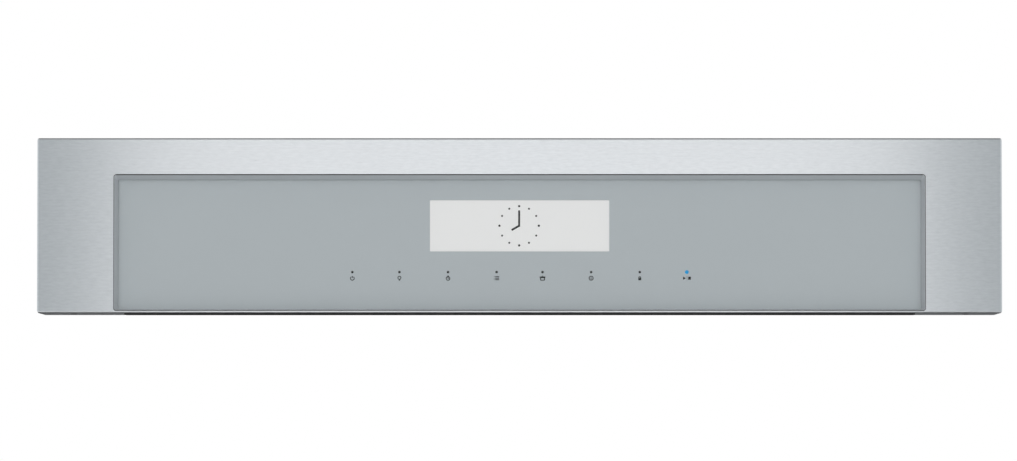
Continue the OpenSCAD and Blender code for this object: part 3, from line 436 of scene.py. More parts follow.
PLASTICS = {
    # The bezel's dust share of 0.6 is painted light: it makes the upward-facing sill of the reveal paler
    # against the shade at its foot.
    "bezel_plastic": make_moulded("satin_grey_moulding", (0.470, 0.500, 0.528), (0.500, 0.530, 0.558),
                                  0.38, 0.15, 0.004, edge=0.0, dust_and_light_share=0.6),
    "carrier_plastic": make_moulded("dark_glass_filled", (0.035, 0.037, 0.041), (0.050, 0.052, 0.057),
                                    0.55, 0.5, 0.03),
    "black_plastic": make_moulded("black_moulding", (0.010, 0.010, 0.011), (0.016, 0.016, 0.017),
                                  0.45, 0.4, 0.02),
    "black_foam": make_moulded("closed_foam", (0.012, 0.012, 0.013), (0.020, 0.020, 0.021), 0.85, 0.6, 0.08),
    "white_plastic": make_moulded("white_moulding", (0.78, 0.78, 0.76), (0.84, 0.84, 0.82), 0.45, 0.4, 0.01),
    "light_plastic": make_moulded("frosted_acrylic", (0.80, 0.82, 0.84), (0.88, 0.90, 0.92),
                                  0.20, 0.3, 0.003),
    "board": make_moulded("solder_mask", (0.008, 0.085, 0.040), (0.012, 0.110, 0.052), 0.28, 0.25, 0.006,
                          Coat_Weight=0.4),
    "chip": make_moulded("chip_epoxy", (0.014, 0.014, 0.015), (0.022, 0.022, 0.024), 0.50, 0.2, 0.004),
    "flex_film": make_moulded("amber_film", (0.52, 0.24, 0.04), (0.60, 0.29, 0.06), 0.25, 0.3, 0.002),
    "ribbon": make_moulded("grey_ribbon", (0.50, 0.51, 0.53), (0.56, 0.57, 0.59), 0.45, 0.6, 0.01),
    "coil": make_moulded("lacquered_winding", (0.16, 0.07, 0.03), (0.22, 0.10, 0.04), 0.30, 0.3, 0.02),
    "can": make_moulded("capacitor_sleeve", (0.018, 0.022, 0.040), (0.026, 0.030, 0.050), 0.25, 0.3, 0.002),
    "socket_white": make_moulded("natural_nylon", (0.72, 0.70, 0.62), (0.78, 0.76, 0.69), 0.40, 0.4, 0.006),
    "socket_blue": make_moulded("blue_nylon", (0.022, 0.070, 0.270), (0.030, 0.085, 0.310), 0.40, 0.4, 0.006),
}
print(len(PLASTICS), "moulded finishes")

# %% [markdown]
# Zinc-plated steel, black zinc, copper-flashed studs and stamped brass are metals too, but with no
# brushed grain: soft blotches change the shine, and worn edges are brighter.

# %% Recipe: plated metal
PLATED_WORN_GAIN, PLATED_WORN_SHARE = 1.2, 0.5
PLATED_DUST, PLATED_DUST_TONE = 0.15, (0.60, 0.60, 0.58)
PLATED_SMOOTHER, PLATED_ROUGHER = 0.08, 0.10
PLATED_BUMP = 0.004*MM


def make_plated(name, dark, light, rough, blotch_mm):
    material, tree, shader = new_material(name, Metallic=1.0)
    noise = place_group(tree, surface_noise, Size=blotch_mm*MM)
    colour = aged_colour(tree, noise, dark, light, PLATED_WORN_GAIN, PLATED_WORN_SHARE,
                         PLATED_DUST, PLATED_DUST_TONE)
    join(tree, colour, shader.inputs["Base Color"])
    range_between(tree, noise.outputs["Blotch"], rough - PLATED_SMOOTHER, rough + PLATED_ROUGHER,
                  shader.inputs["Roughness"])
    bump_from(tree, shader, noise.outputs["Fine"], PLATED_BUMP)
    return material


METALS = {
    "zinc_steel": make_plated("bright_zinc", (0.50, 0.51, 0.53), (0.62, 0.63, 0.64), 0.36, 0.5),
    "dark_screw": make_plated("black_zinc", (0.012, 0.012, 0.014), (0.022, 0.022, 0.025), 0.40, 0.2),
    "copper_stud": make_plated("copper_flash", (0.62, 0.36, 0.24), (0.72, 0.44, 0.30), 0.34, 0.2),
    "brass_blade": make_plated("stamped_brass", (0.62, 0.46, 0.20), (0.72, 0.55, 0.26), 0.30, 0.2),
}
print(len(METALS), "plated finishes")

# %% [markdown]
# The display is lit from behind, so its face glows evenly. Part of its tone is plain reflected light
# and the rest is emission, which keeps the window flat and light as in the photograph. The inks and
# the smoked lenses are dark and have little shine.

# %% Materials: lit display, inks and lenses
FLAT_SPECULAR = 0.15
BASE_DRIFT, GLOW_DRIFT, INK_DRIFT = 0.96, 0.985, 0.8


def drifting_tone(tree, mask, tone, drift, target):
    """One tone that drifts down to a share of itself."""
    join(tree, tone_between(tree, mask, tuple(drift*c for c in tone), tone), target)


def make_lit(name, base, glow):
    material, tree, shader = new_material(name, Roughness=0.5, Specular_IOR_Level=FLAT_SPECULAR,
                                          Emission_Strength=1.0)
    noise = place_group(tree, surface_noise, Size=0.0004)
    drifting_tone(tree, noise.outputs["Fine"], base, BASE_DRIFT, shader.inputs["Base Color"])
    drifting_tone(tree, noise.outputs["Fine"], glow, GLOW_DRIFT, shader.inputs["Emission Color"])
    return material


def make_ink(name, tone):
    material, tree, shader = new_material(name, Roughness=0.6, Specular_IOR_Level=FLAT_SPECULAR)
    noise = place_group(tree, surface_noise, Size=0.0002)
    drifting_tone(tree, noise.outputs["Fine"], tone, INK_DRIFT, shader.inputs["Base Color"])
    return material


display_face = make_lit("lit_display", (0.40, 0.40, 0.40), (0.44, 0.425, 0.430))
start_lens_light = make_lit("blue_key_light", (0.004, 0.06, 0.12), (0.006, 0.23, 0.51))
# This ink prints the signs and also paints the shadow line of the seal round the opening.
sign_ink_and_shadow = make_ink("dark_sign_ink_and_shadow", (0.020, 0.021, 0.022))
clock_ink = make_ink("clock_segments", (0.025, 0.025, 0.026))
smoked_lens = make_ink("smoked_key_lens", (0.025, 0.026, 0.028))
print("display, ink and lens finishes ready")

# %% [markdown]
# Every part that came in gets its finish through its own material slots. The record names a
# material slot for each part, so one table from slot to finish dresses them all.

# %% Dress every part that came in
FINISHES = {**PLASTICS, **METALS, "stainless": stainless, "panel_glass": clear_glass,
            "print_ink": silver_print, "display_glass": display_face}
slot_of_node = {row["node"]: row["material_slot"] for row in frame["record"]["subparts"]}
for node_name, node_object in frame["nodes"].items():
    finish = FINISHES[slot_of_node[node_name]]
    for material_slot in node_object.material_slots:
        material_slot.material = finish
print(len(frame["nodes"]), "parts dressed")

# %% [markdown]
# Signs are thin flat solids. Each is drawn in millimetres on a sheet, x to the right and y up, from
# a few kinds of stroke: a bar, an arc of a ring, a disc, a closed outline and a plain polygon. Then the
# sheet is laid on its place, facing the viewer, and given a small thickness.

# %% Helpers that draw flat signs
RING_STEPS, LEAST_STEPS, CORNER_SIDES = 40, 6, 10


def bar(x0, y0, x1, y1, width):
    """A straight stroke between two points."""
    along = Vector((x1 - x0, y1 - y0)).normalized()
    side = Vector((-along.y, along.x))*width/2
    near, far = Vector((x0, y0)), Vector((x1, y1))
    return [[tuple(p) for p in (near - side, far - side, far + side, near + side)]]


def arc(x, y, radius, width, start=0.0, turn=360.0):
    """A stroke along part of a ring, from an angle and through a turn in degrees."""
    steps = max(LEAST_STEPS, int(RING_STEPS*abs(turn)/360))
    rim = []
    for i in range(steps + 1):
        angle = math.radians(start + turn*i/steps)
        rim.append((math.cos(angle), math.sin(angle)))
    inner, outer = radius - width/2, radius + width/2
    quads = []
    for (c0, s0), (c1, s1) in zip(rim, rim[1:]):
        quads.append([(x + inner*c0, y + inner*s0), (x + outer*c0, y + outer*s0),
                      (x + outer*c1, y + outer*s1), (x + inner*c1, y + inner*s1)])
    return quads


def disc(x, y, radius, sides=24):
    """A filled circle as one polygon."""
    angles = [math.tau*i/sides for i in range(sides)]
    return [[(x + radius*math.cos(a), y + radius*math.sin(a)) for a in angles]]


def outline(points, width):
    """A closed stroke through corner points."""
    strokes = []
    for (x0, y0), (x1, y1) in zip(points, points[1:] + points[:1]):
        strokes += bar(x0, y0, x1, y1, width) + disc(x0, y0, width/2, CORNER_SIDES)
    return strokes


def shifted(faces, dx, dy):
    return [[(dx + x, dy + y) for x, y in face] for face in faces]


def lay_sign(name, faces, front_y, thickness, material):
    """Turns drawn faces into a thin solid whose front lies at depth front_y, in metres."""
    mesh = bpy.data.meshes.new(name)
    shape = bmesh.new()
    for face in faces:
        front = [shape.verts.new((x*MM, front_y, y*MM)) for x, y in face]
        back = [shape.verts.new((x*MM, front_y + thickness, y*MM)) for x, y in face]
        shape.faces.new(front)
        shape.faces.new(back[::-1])
        for i in range(len(face)):
            j = (i + 1) % len(face)
            shape.faces.new([front[j], front[i], back[i], back[j]])
    bmesh.ops.recalc_face_normals(shape, faces=shape.faces)
    shape.to_mesh(mesh)
    shape.free()
    piece = new_object(name, mesh)
    mesh.materials.append(material)
    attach(piece, ROOT)

# %% [markdown]
# The keys. Each has a small dot, a hole in the print with a lens in it, and under the dot a plain
# line sign: power, lamp, timer, list, pot, information, padlock and start with stop. The dots' height
# follows from the light guides behind them, and their distances from the middle are the same to the
# left and to the right.

# %% Where the keys are
KEY_REACH = [18.0, 56.1, 94.2, 131.1]
SIGN_BELOW_DOT = 4.8
SIGN_THICK = 0.02*MM
guide_lo, guide_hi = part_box("light_guides")
print_lo, print_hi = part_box("glass_print")
key_height = (guide_lo[2] + guide_hi[2])/2/MM
key_places = [-x for x in reversed(KEY_REACH)] + KEY_REACH
print_front = print_lo[1]
print("key dots at height", round(key_height, 2), "mm, places", key_places)

# %% Draw the eight key signs
STROKE, DIVIDER_W = 0.70, 0.25


def power_sign():
    return arc(0, -0.1, 1.45, STROKE, 125, 290) + bar(0, 0.1, 0, 1.75, STROKE)


def lamp_sign():
    shapes = arc(0, 0.35, 1.15, STROKE, -60, 300) + bar(-0.6, -0.95, 0.6, -0.95, STROKE)
    return shapes + bar(-0.45, -1.6, 0.45, -1.6, STROKE)


def timer_sign():
    shapes = arc(0, -0.2, 1.4, STROKE) + bar(0, -0.2, 0, 0.65, STROKE) + bar(0, -0.2, 0.6, -0.2, STROKE)
    return shapes + bar(-0.5, 1.75, 0.5, 1.75, STROKE)


def list_sign():
    shapes = []
    for y in (-1.2, 0, 1.2):
        shapes += disc(-1.9, y, 0.3, 12) + bar(-1.2, y, 2.0, y, STROKE)
    return shapes


def pot_sign():
    shapes = outline([(-1.7, 0.4), (-1.4, -1.5), (1.4, -1.5), (1.7, 0.4)], STROKE)
    shapes += bar(-2.3, 0.95, 2.3, 0.95, STROKE) + bar(-0.35, 1.6, 0.35, 1.6, STROKE)
    return shapes


def information_sign():
    return arc(0, 0, 1.55, STROKE) + disc(0, 0.65, 0.26, 14) + bar(0, 0.2, 0, -0.85, STROKE)


def padlock_sign():
    body = [[(-1.2, -1.6), (1.2, -1.6), (1.2, 0.1), (-1.2, 0.1)]]
    shackle = arc(0, 0.35, 0.75, STROKE, 0, 180)
    return body + shackle + bar(-0.75, 0.1, -0.75, 0.4, STROKE) + bar(0.75, 0.1, 0.75, 0.4, STROKE)


def start_stop_sign():
    start = [[(-3.0, -1.3), (-0.7, 0.0), (-3.0, 1.3)]]
    stop = [[(1.0, -1.2), (3.2, -1.2), (3.2, 1.2), (1.0, 1.2)]]
    return start + bar(0.15, -1.6, 0.15, 1.6, DIVIDER_W) + stop


KEY_SIGNS = [power_sign, lamp_sign, timer_sign, list_sign,
             pot_sign, information_sign, padlock_sign, start_stop_sign]
for place, draw in zip(key_places, KEY_SIGNS):
    faces = shifted(draw(), place, key_height - SIGN_BELOW_DOT)
    lay_sign("key_" + draw.__name__, faces, print_front - SIGN_THICK, SIGN_THICK, sign_ink_and_shadow)
print(len(KEY_SIGNS), "key signs")

# %% [markdown]
# The lenses fill the holes of the print. Seven are smoked and dark while the oven is off, each in a
# thin printed ring. The last, over the start key, is larger and lit blue.

# %% Lenses in the key dots
DOT_R, START_DOT_R, RING_W = 0.8, 1.5, 0.2
lens_depth = print_hi[1] - print_front
dark_dots, dark_rings = [], []
for place in key_places[:-1]:
    dark_dots += shifted(disc(0, 0, DOT_R), place, key_height)
    dark_rings += shifted(arc(0, 0, DOT_R + RING_W/2, RING_W), place, key_height)
lay_sign("dot_rings", dark_rings, print_front - SIGN_THICK, SIGN_THICK, sign_ink_and_shadow)
lay_sign("key_lenses", dark_dots, print_front, lens_depth, smoked_lens)
lay_sign("start_lens", shifted(disc(0, 0, START_DOT_R, 40), key_places[-1], key_height),
         print_front, lens_depth, start_lens_light)
print("lenses:", len(dark_dots), "dark and one lit")

# %% [markdown]
# A thin dark seal closes the gap between the steel and the moulded reveal. Its black is painted
# shadow: a fine dark line round the opening, widest along the top, where the shadow falls from above.

# %% Seal round the opening, its black a painted shadow
OPEN_X, OPEN_TOP, OPEN_FOOT, OPENING_R = 318.1, 40.22, -67.17, 2.2
SHADOW_SEAL_W, SHADOW_SEAL_TOP_W, SHADOW_SEAL_FOOT_W, SHADOW_SEAL_DEPTH = 0.4, 0.8, 0.45, 0.15*MM
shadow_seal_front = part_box("glass_bezel")[0][1] - SHADOW_SEAL_DEPTH
reach, corner_r = OPEN_X - OPENING_R, OPENING_R - SHADOW_SEAL_W/2
shadow_seal = []
for side in (-1, 1):
    x = side*(OPEN_X - SHADOW_SEAL_W/2)
    shadow_seal += bar(x, OPEN_FOOT + OPENING_R, x, OPEN_TOP - OPENING_R, SHADOW_SEAL_W)
    shadow_seal += arc(side*reach, OPEN_TOP - OPENING_R, corner_r, SHADOW_SEAL_W, 45 - 45*side, 90)
    shadow_seal += arc(side*reach, OPEN_FOOT + OPENING_R, corner_r, SHADOW_SEAL_W, 225 + 45*side, 90)
shadow_seal += bar(-reach, OPEN_TOP - SHADOW_SEAL_TOP_W/2, reach, OPEN_TOP - SHADOW_SEAL_TOP_W/2, SHADOW_SEAL_TOP_W)
shadow_seal += bar(-reach, OPEN_FOOT + SHADOW_SEAL_FOOT_W/2, reach, OPEN_FOOT + SHADOW_SEAL_FOOT_W/2, SHADOW_SEAL_FOOT_W)
# The seal's black, and its extra width along the top, are painted shadow in the gap.
lay_sign("shadow_seal_line", shadow_seal, shadow_seal_front, SHADOW_SEAL_DEPTH, sign_ink_and_shadow)
print("seal laid at depth", round(shadow_seal_front/MM, 2), "mm")

# %% [markdown]
# A strip of the same foam fills the gap between the rear edge of the folded underside and the plane
# where the panel meets the oven. It ends the dark line that the underside shows from the front.

# %% Foam strip behind the underside
STRIP_HALF, STRIP_H = 309.0, 2.0
strip_height = fascia_lo[2]/MM + STRIP_H/2
strip_depth = -fascia_hi[1]
lay_sign("rear_seal_strip", bar(-STRIP_HALF, strip_height, STRIP_HALF, strip_height, STRIP_H),
         fascia_hi[1], strip_depth, sign_ink_and_shadow)
print("foam strip fills", round(strip_depth/MM, 2), "mm")

# %% [markdown]
# The clock face is twelve dots on a circle and two hands. A ring of equal things is a job for
# Geometry Nodes: a mesh circle gives twelve points, a small disc is put on each, and the ones at
# the quarters are scaled up. The tree ends with Realize Instances and Set Material, and its result
# is taken as a plain mesh.

# %% Geometry Nodes: the ring of hour dots
CLOCK_R, CLOCK_X, CLOCK_UP = 15.45, -0.35, 0.1*MM
CLOCK_OUT, CLOCK_THICK = 0.05*MM, 0.04*MM
HOURS, HOUR_SHOWN = 12, 8
HOUR_DOT_R, QUARTER_SHARE = 0.775, 1.14
cell_lo, cell_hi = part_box("display_cell")
clock_height = (cell_lo[2] + cell_hi[2])/2 + CLOCK_UP
clock_depth = cell_lo[1] - CLOCK_OUT


def new_geometry_tree(name, inputs):
    """An empty geometry tree with its inputs, each a title and a kind, and its two end nodes."""
    tree = bpy.data.node_groups.new(name, "GeometryNodeTree")
    for title, kind in inputs:
        tree.interface.new_socket(title, in_out="INPUT", socket_type="NodeSocket" + kind)
    tree.interface.new_socket("Geometry", in_out="OUTPUT", socket_type="NodeSocketGeometry")
    return tree, tree.nodes.new("NodeGroupInput"), tree.nodes.new("NodeGroupOutput")


def chain(tree, *nodes):
    """Joins the first output of every node to the first input of the next."""
    for first, second in zip(nodes, nodes[1:]):
        join(tree, first.outputs[0], second.inputs[0])


def make_hour_tree():
    tree, start, end = new_geometry_tree("hour_dots", [
        ("Ring radius", "Float"), ("Dot radius", "Float"), ("Thickness", "Float"),
        ("Quarter scale", "Float")])
    ring = add_node(tree, "GeometryNodeMeshCircle", inputs={"Vertices": HOURS})
    join(tree, start.outputs["Ring radius"], ring.inputs["Radius"])
    dot = add_node(tree, "GeometryNodeMeshCylinder", inputs={"Vertices": 24})
    join(tree, start.outputs["Dot radius"], dot.inputs["Radius"])
    join(tree, start.outputs["Thickness"], dot.inputs["Depth"])
    number = add_node(tree, "GeometryNodeInputIndex")
    is_quarter = add_node(tree, "FunctionNodeCompare", data_type="INT", operation="EQUAL")
    remainder = add_node(tree, "ShaderNodeMath", operation="MODULO", inputs={1: HOURS//4})
    join(tree, number.outputs[0], remainder.inputs[0])
    join(tree, remainder.outputs[0], is_quarter.inputs[2])
    size = add_node(tree, "GeometryNodeSwitch", input_type="FLOAT", inputs={"False": 1.0})
    join(tree, is_quarter.outputs[0], size.inputs["Switch"])
    join(tree, start.outputs["Quarter scale"], size.inputs["True"])
    put = add_node(tree, "GeometryNodeInstanceOnPoints")
    join(tree, ring.outputs["Mesh"], put.inputs["Points"])
    join(tree, dot.outputs["Mesh"], put.inputs["Instance"])
    join(tree, size.outputs[0], put.inputs["Scale"])
    turn = add_node(tree, "GeometryNodeTransform")
    turn.inputs["Rotation"].default_value = (math.radians(90), 0, 0)
    turn.inputs["Translation"].default_value = (CLOCK_X*MM, clock_depth, clock_height)
    real = add_node(tree, "GeometryNodeRealizeInstances")
    dress = add_node(tree, "GeometryNodeSetMaterial")
    dress.inputs["Material"].default_value = clock_ink
    chain(tree, put, turn, real, dress, end)
    return tree


def mesh_from_tree(name, tree, values, points=()):
    """Runs a geometry tree once with its named values and keeps the result as a plain mesh."""
    start_mesh = bpy.data.meshes.new(name)
    start_mesh.from_pydata(points, [], [])
    piece = new_object(name, start_mesh)
    modifier = piece.modifiers.new(name, "NODES")
    modifier.node_group = tree
    for item in tree.interface.items_tree:
        if item.in_out == "INPUT" and item.name in values:
            modifier[item.identifier] = values[item.name]
    bpy.context.view_layer.update()
    evaluated = piece.evaluated_get(bpy.context.evaluated_depsgraph_get())
    result = bpy.data.meshes.new_from_object(evaluated)
    piece.modifiers.clear()
    piece.data = result
    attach(piece, ROOT)
    print(name, len(result.polygons), "faces")


mesh_from_tree("hour_dots", make_hour_tree(), {
    "Ring radius": CLOCK_R*MM, "Dot radius": HOUR_DOT_R*MM, "Thickness": CLOCK_THICK,
    "Quarter scale": QUARTER_SHARE})

# %% [markdown]
# Two plain strokes make the hands, in the same thin layer on the display's face as the dots.

# %% Hands of the clock at eight o'clock
MINUTE_HAND, MINUTE_W = 12.1, 1.5
HOUR_HAND, HOUR_W = 6.8, 1.55
hour_angle = math.radians(90 - 360*HOUR_SHOWN/HOURS)
hands = bar(0, -MINUTE_W/2, 0, MINUTE_HAND, MINUTE_W)
hands += bar(0, 0, HOUR_HAND*math.cos(hour_angle), HOUR_HAND*math.sin(hour_angle), HOUR_W)
lay_sign("clock_hands", shifted(hands, CLOCK_X, clock_height/MM), clock_depth - CLOCK_THICK/2,
         CLOCK_THICK, clock_ink)
print("clock hands drawn")

# %% [markdown]
# The boards carry rows of small soldered parts, each a dark block between two tinned ends. A grid of
# points, some of them dropped by a random number with a fixed seed, takes one block each. The same
# tree runs twice for each board: long low blocks in tin, and shorter, slightly taller ones in black.

# %% Geometry Nodes: rows of small soldered parts
def make_parts_tree():
    tree, start, end = new_geometry_tree("soldered_parts", [
        ("Columns", "Int"), ("Rows", "Int"), ("Column pitch", "Float"), ("Row pitch", "Float"),
        ("Part size", "Vector"), ("Middle", "Vector"), ("Kept share", "Float"), ("Seed", "Int"),
        ("Finish", "Material")])
    grid = add_node(tree, "GeometryNodeMeshGrid")
    join(tree, start.outputs["Columns"], grid.inputs["Vertices X"])
    join(tree, start.outputs["Rows"], grid.inputs["Vertices Y"])
    for count, pitch, size in [("Columns", "Column pitch", "Size X"), ("Rows", "Row pitch", "Size Y")]:
        gaps = math_node(tree, "SUBTRACT", start.outputs[count], 1)
        join(tree, math_node(tree, "MULTIPLY", gaps, start.outputs[pitch]), grid.inputs[size])
    kept = add_node(tree, "FunctionNodeRandomValue", data_type="BOOLEAN")
    join(tree, start.outputs["Kept share"], kept.inputs["Probability"])
    join(tree, start.outputs["Seed"], kept.inputs["Seed"])
    block = add_node(tree, "GeometryNodeMeshCube")
    join(tree, start.outputs["Part size"], block.inputs["Size"])
    put = add_node(tree, "GeometryNodeInstanceOnPoints")
    join(tree, grid.outputs["Mesh"], put.inputs["Points"])
    join(tree, kept.outputs[3], put.inputs["Selection"])
    join(tree, block.outputs["Mesh"], put.inputs["Instance"])
    turn = add_node(tree, "GeometryNodeTransform")
    turn.inputs["Rotation"].default_value = (math.radians(-90), 0, 0)
    join(tree, start.outputs["Middle"], turn.inputs["Translation"])
    real = add_node(tree, "GeometryNodeRealizeInstances")
    dress = add_node(tree, "GeometryNodeSetMaterial")
    join(tree, start.outputs["Finish"], dress.inputs["Material"])
    chain(tree, put, turn, real, dress, end)
    return tree


END_SIZE, BODY_SIZE = (2*MM, 1.2*MM, 1.0*MM), (1.2*MM, 1.3*MM, 1.15*MM)
BELOW_MIDDLE, ABOVE_FOOT = 12*MM, 3*MM
parts_tree = make_parts_tree()
control_lo, control_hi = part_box("control_board")
touch_lo, touch_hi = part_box("touch_board")
ROWS_OF_PARTS = {
    "control_parts": {"Columns": 30, "Rows": 3, "Column pitch": 9*MM, "Row pitch": 4.2*MM,
                      "Kept share": 0.62, "Seed": 4,
                      "Middle": (0, control_hi[1], (control_lo[2] + control_hi[2])/2 - BELOW_MIDDLE)},
    "touch_parts": {"Columns": 26, "Rows": 1, "Column pitch": 9*MM, "Row pitch": 4*MM,
                    "Kept share": 0.7, "Seed": 9, "Middle": (0, touch_hi[1], touch_lo[2] + ABOVE_FOOT)},
}
for name, values in ROWS_OF_PARTS.items():
    mesh_from_tree(name + "_ends", parts_tree,
                   {**values, "Part size": END_SIZE, "Finish": METALS["zinc_steel"]})
    mesh_from_tree(name + "_bodies", parts_tree,
                   {**values, "Part size": BODY_SIZE, "Finish": PLASTICS["chip"]})

# %% [markdown]
# The weld studs are threaded. Their places are read from the stud part itself: every separate pin
# of its mesh gives one point. A line of thin rings, as long as the pin, is then put on each point.

# %% Geometry Nodes: threads on the weld studs
def pin_places(node_name):
    """Front end and length of every separate pin in one part, from its connected vertices."""
    shape = bmesh.new()
    shape.from_mesh(frame["nodes"][node_name].data)
    bmesh.ops.remove_doubles(shape, verts=shape.verts, dist=1e-6)
    seen, places = set(), []
    for vert in shape.verts:
        if vert in seen:
            continue
        seen.add(vert)
        island, waiting = [], [vert]
        while waiting:
            current = waiting.pop()
            island.append(current.co.copy())
            for edge in current.link_edges:
                other = edge.other_vert(current)
                if other not in seen:
                    seen.add(other)
                    waiting.append(other)
        low = [min(p[i] for p in island) for i in range(3)]
        high = [max(p[i] for p in island) for i in range(3)]
        places.append((((low[0] + high[0])/2, low[1], (low[2] + high[2])/2), high[1] - low[1]))
    shape.free()
    return places


def make_thread_tree():
    tree, start, end = new_geometry_tree("stud_threads", [
        ("Geometry", "Geometry"), ("Rings", "Int"), ("Pitch", "Float"), ("Radius", "Float"),
        ("Depth", "Float")])
    line = add_node(tree, "GeometryNodeMeshLine")
    join(tree, start.outputs["Rings"], line.inputs["Count"])
    step = add_node(tree, "ShaderNodeCombineXYZ")
    join(tree, start.outputs["Pitch"], step.inputs["Y"])
    join(tree, step.outputs[0], line.inputs["Offset"])
    flanks = []
    for near, far in [(0, 1), (1, 0)]:
        cone = add_node(tree, "GeometryNodeMeshCone", fill_type="NONE", inputs={"Vertices": 20})
        root_r = math_node(tree, "SUBTRACT", start.outputs["Radius"], start.outputs["Depth"])
        join(tree, start.outputs["Radius"] if near else root_r, cone.inputs["Radius Bottom"])
        join(tree, start.outputs["Radius"] if far else root_r, cone.inputs["Radius Top"])
        half = math_node(tree, "MULTIPLY", start.outputs["Pitch"], 0.5)
        join(tree, half, cone.inputs["Depth"])
        lift = add_node(tree, "ShaderNodeCombineXYZ")
        join(tree, math_node(tree, "MULTIPLY", half, near), lift.inputs["Z"])
        move = add_node(tree, "GeometryNodeTransform")
        join(tree, cone.outputs["Mesh"], move.inputs[0])
        join(tree, lift.outputs[0], move.inputs["Translation"])
        flanks.append(move)
    ring = add_node(tree, "GeometryNodeJoinGeometry")
    for flank in flanks:
        join(tree, flank.outputs[0], ring.inputs[0])
    along = add_node(tree, "GeometryNodeInstanceOnPoints")
    along.inputs["Rotation"].default_value = (math.radians(-90), 0, 0)
    join(tree, line.outputs[0], along.inputs["Points"])
    join(tree, ring.outputs[0], along.inputs["Instance"])
    put = add_node(tree, "GeometryNodeInstanceOnPoints")
    join(tree, start.outputs["Geometry"], put.inputs["Points"])
    join(tree, along.outputs[0], put.inputs["Instance"])
    real = add_node(tree, "GeometryNodeRealizeInstances")
    dress = add_node(tree, "GeometryNodeSetMaterial")
    dress.inputs["Material"].default_value = METALS["copper_stud"]
    chain(tree, put, real, dress, end)
    return tree


THREAD_PITCH, THREAD_R, THREAD_DEPTH, THREAD_START = 0.7*MM, 2.08*MM, 0.2*MM, 1.5*MM
studs = pin_places("fascia_studs")
stud_length = studs[0][1]
thread_rings = int((stud_length - THREAD_START)/THREAD_PITCH)
mesh_from_tree("stud_threads", make_thread_tree(),
               {"Rings": thread_rings, "Pitch": THREAD_PITCH, "Radius": THREAD_R, "Depth": THREAD_DEPTH},
               points=[(x, y + THREAD_START, z) for (x, y, z), _ in studs])
print(len(studs), "studs with", thread_rings, "thread rings each")

# %% [markdown]
# The studio. The backdrop is the world, which is white wherever the camera, a mirror or clear glass
# looks at it, and lights the object at about a third of that strength. The floor lies well below,
# keeps the shadow, and glows a little in mirrors, so that it looks pale there too.

# %% World and floor
WORLD_LIGHT, MIRRORED_FLOOR = 0.36, 0.42
FLOOR_BELOW, FLOOR_HALF, FLOOR_TONE = 0.95, 16, 0.86
world = bpy.data.worlds.new("studio")
bpy.context.scene.world = world
world.use_nodes = True
world_tree = world.node_tree
background = world_tree.nodes["Background"]
background.inputs["Color"].default_value = (1, 1, 1, 1)
rays = add_node(world_tree, "ShaderNodeLightPath")
seen = math_node(world_tree, "MAXIMUM", rays.outputs["Is Camera Ray"], rays.outputs["Is Transmission Ray"])
seen = math_node(world_tree, "MAXIMUM", seen, rays.outputs["Is Glossy Ray"])
extra = math_node(world_tree, "MULTIPLY", seen, 1.0 - WORLD_LIGHT)
join(world_tree, math_node(world_tree, "ADD", extra, WORLD_LIGHT), background.inputs["Strength"])


def flat_sheet(name, corners, material):
    mesh = bpy.data.meshes.new(name)
    mesh.from_pydata(corners, [], [(0, 1, 2, 3)])
    mesh.materials.append(material)
    sheet = new_object(name, mesh)
    return sheet


floor_material, floor_tree, floor_shader = new_material("pale_floor", Roughness=0.9)
floor_shader.inputs["Base Color"].default_value = (FLOOR_TONE, FLOOR_TONE, FLOOR_TONE, 1)
floor_shader.inputs["Emission Color"].default_value = (1, 1, 1, 1)
floor_rays = add_node(floor_tree, "ShaderNodeLightPath")
join(floor_tree, math_node(floor_tree, "MULTIPLY", floor_rays.outputs["Is Glossy Ray"], MIRRORED_FLOOR),
     floor_shader.inputs["Emission Strength"])
floor_z = cad_box[0][2] - FLOOR_BELOW
floor_corners = [(x*FLOOR_HALF, y*FLOOR_HALF, floor_z) for x, y in [(-1, -1), (1, -1), (1, 1), (-1, 1)]]
flat_sheet("floor", floor_corners, floor_material)
print("floor at height", round(floor_z, 3))

# %% [markdown]
# Brushed steel shows what stands round it. Grey cards do here what the flags of a product studio do:
# they are seen only in mirrors, and throw neither light nor shadow. A pair stands close in front, one
# card before each end of the panel, and its distance sets how fast the steel grows darker towards
# the ends. A pair at the sides shades the folded sides, and one card hangs above for the thin line of
# the folded top. The underside has two, which make it dark as in the photograph: a black one lies
# below, for the bend, and a dark grey one leans behind it, for the flat.

# %% Cards that only mirrors see
CARD_Y, CARD_IN, CARD_OUT, CARD_TOP, CARD_REAR = -0.75, 0.345, 0.80, 1.1, 0.8
CARD_HALF, UPPER_Z, UPPER_FRONT, UPPER_REAR = 3, 1.5, -2.0, 1.6
LOW_FRONT, LOW_REAR, LEAN_REAR, LEAN_Z = -0.30, 0.4, 2.4, 0.0
low_z = floor_z + 0.01


def standing(x0, y0, x1, y1):
    """Corners of a card that stands on the floor between two places."""
    return [(x0, y0, floor_z), (x1, y1, floor_z), (x1, y1, CARD_TOP), (x0, y0, CARD_TOP)]


def lying(y0, z0, y1, z1):
    """Corners of a wide card between a front and a rear edge."""
    return [(-CARD_HALF, y0, z0), (CARD_HALF, y0, z0), (CARD_HALF, y1, z1), (-CARD_HALF, y1, z1)]


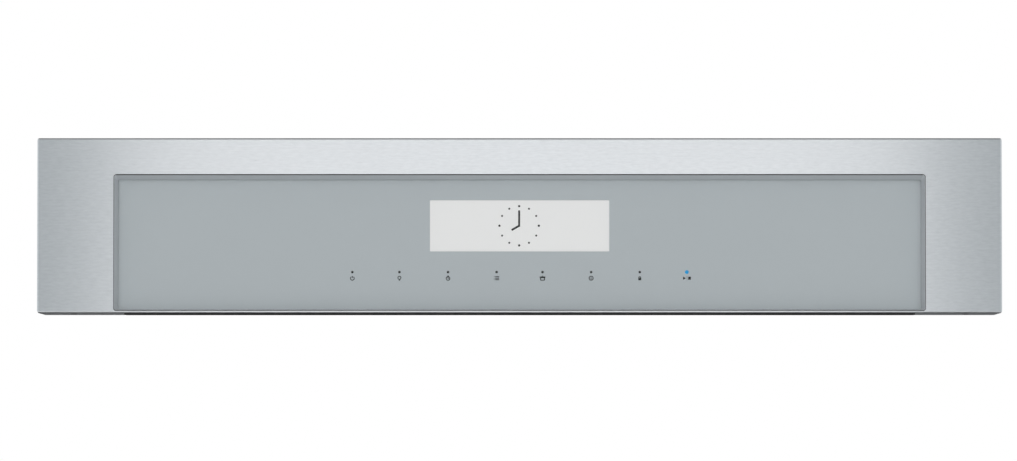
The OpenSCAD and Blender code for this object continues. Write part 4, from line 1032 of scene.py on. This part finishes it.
CARDS = {
    "front_card": ((0.43, 0.455, 0.465), {
        "front_card_left": standing(-CARD_IN, CARD_Y, -CARD_OUT, CARD_Y),
        "front_card_right": standing(CARD_IN, CARD_Y, CARD_OUT, CARD_Y)}),
    "side_card": ((0.66, 0.69, 0.70), {
        "side_card_left": standing(-CARD_OUT, CARD_Y, -CARD_OUT, CARD_REAR),
        "side_card_right": standing(CARD_OUT, CARD_Y, CARD_OUT, CARD_REAR)}),
    "upper_card": ((0.16, 0.16, 0.16), {"upper_card": lying(UPPER_FRONT, UPPER_Z, UPPER_REAR, UPPER_Z)}),
    "lower_card": ((0.02, 0.02, 0.02), {"lower_card": lying(LOW_FRONT, low_z, LOW_REAR, low_z)}),
    "rear_card": ((0.06, 0.06, 0.06), {"rear_card_low": lying(LOW_REAR, low_z, LEAN_REAR, LEAN_Z)}),
}
card_count = 0
for finish_name, (tone, group) in CARDS.items():
    card_material, _, card_shader = new_material(finish_name, Roughness=0.9, Emission_Strength=1.0)
    card_shader.inputs["Base Color"].default_value = (0, 0, 0, 1)
    card_shader.inputs["Emission Color"].default_value = (*tone, 1)
    for name, corners in group.items():
        card = flat_sheet(name, corners, card_material)
        card.visible_camera = card.visible_diffuse = card.visible_shadow = card.visible_transmission = False
        card_count += 1
print(card_count, "cards")

# %% [markdown]
# Two soft lamps stand left and right of the camera and light the front evenly, so that the sunk glass
# has almost no shadow at the foot of the reveal. A third lights the back. No mirror shows them.

# %% Lamps
LAMPS = {
    "key_lamp": {"place": (-0.9, -4.8, 0.2), "size": (2.2, 1.6), "power": 57},
    "fill_lamp": {"place": (0.9, -4.8, 0.1), "size": (2.2, 1.6), "power": 51},
    "back_lamp": {"place": (0.4, 2.6, 1.2), "size": (1.6, 1.2), "power": 36},
}
for name, values in LAMPS.items():
    data = bpy.data.lights.new(name, "AREA")
    data.shape = "RECTANGLE"
    data.size, data.size_y = values["size"]
    data.energy = values["power"]
    lamp = new_object(name, data)
    lamp.location = values["place"]
    lamp.rotation_euler = (-Vector(values["place"])).to_track_quat("-Z", "Y").to_euler()
    lamp.visible_glossy = False
    lamp.visible_transmission = False
print(len(LAMPS), "soft lamps")
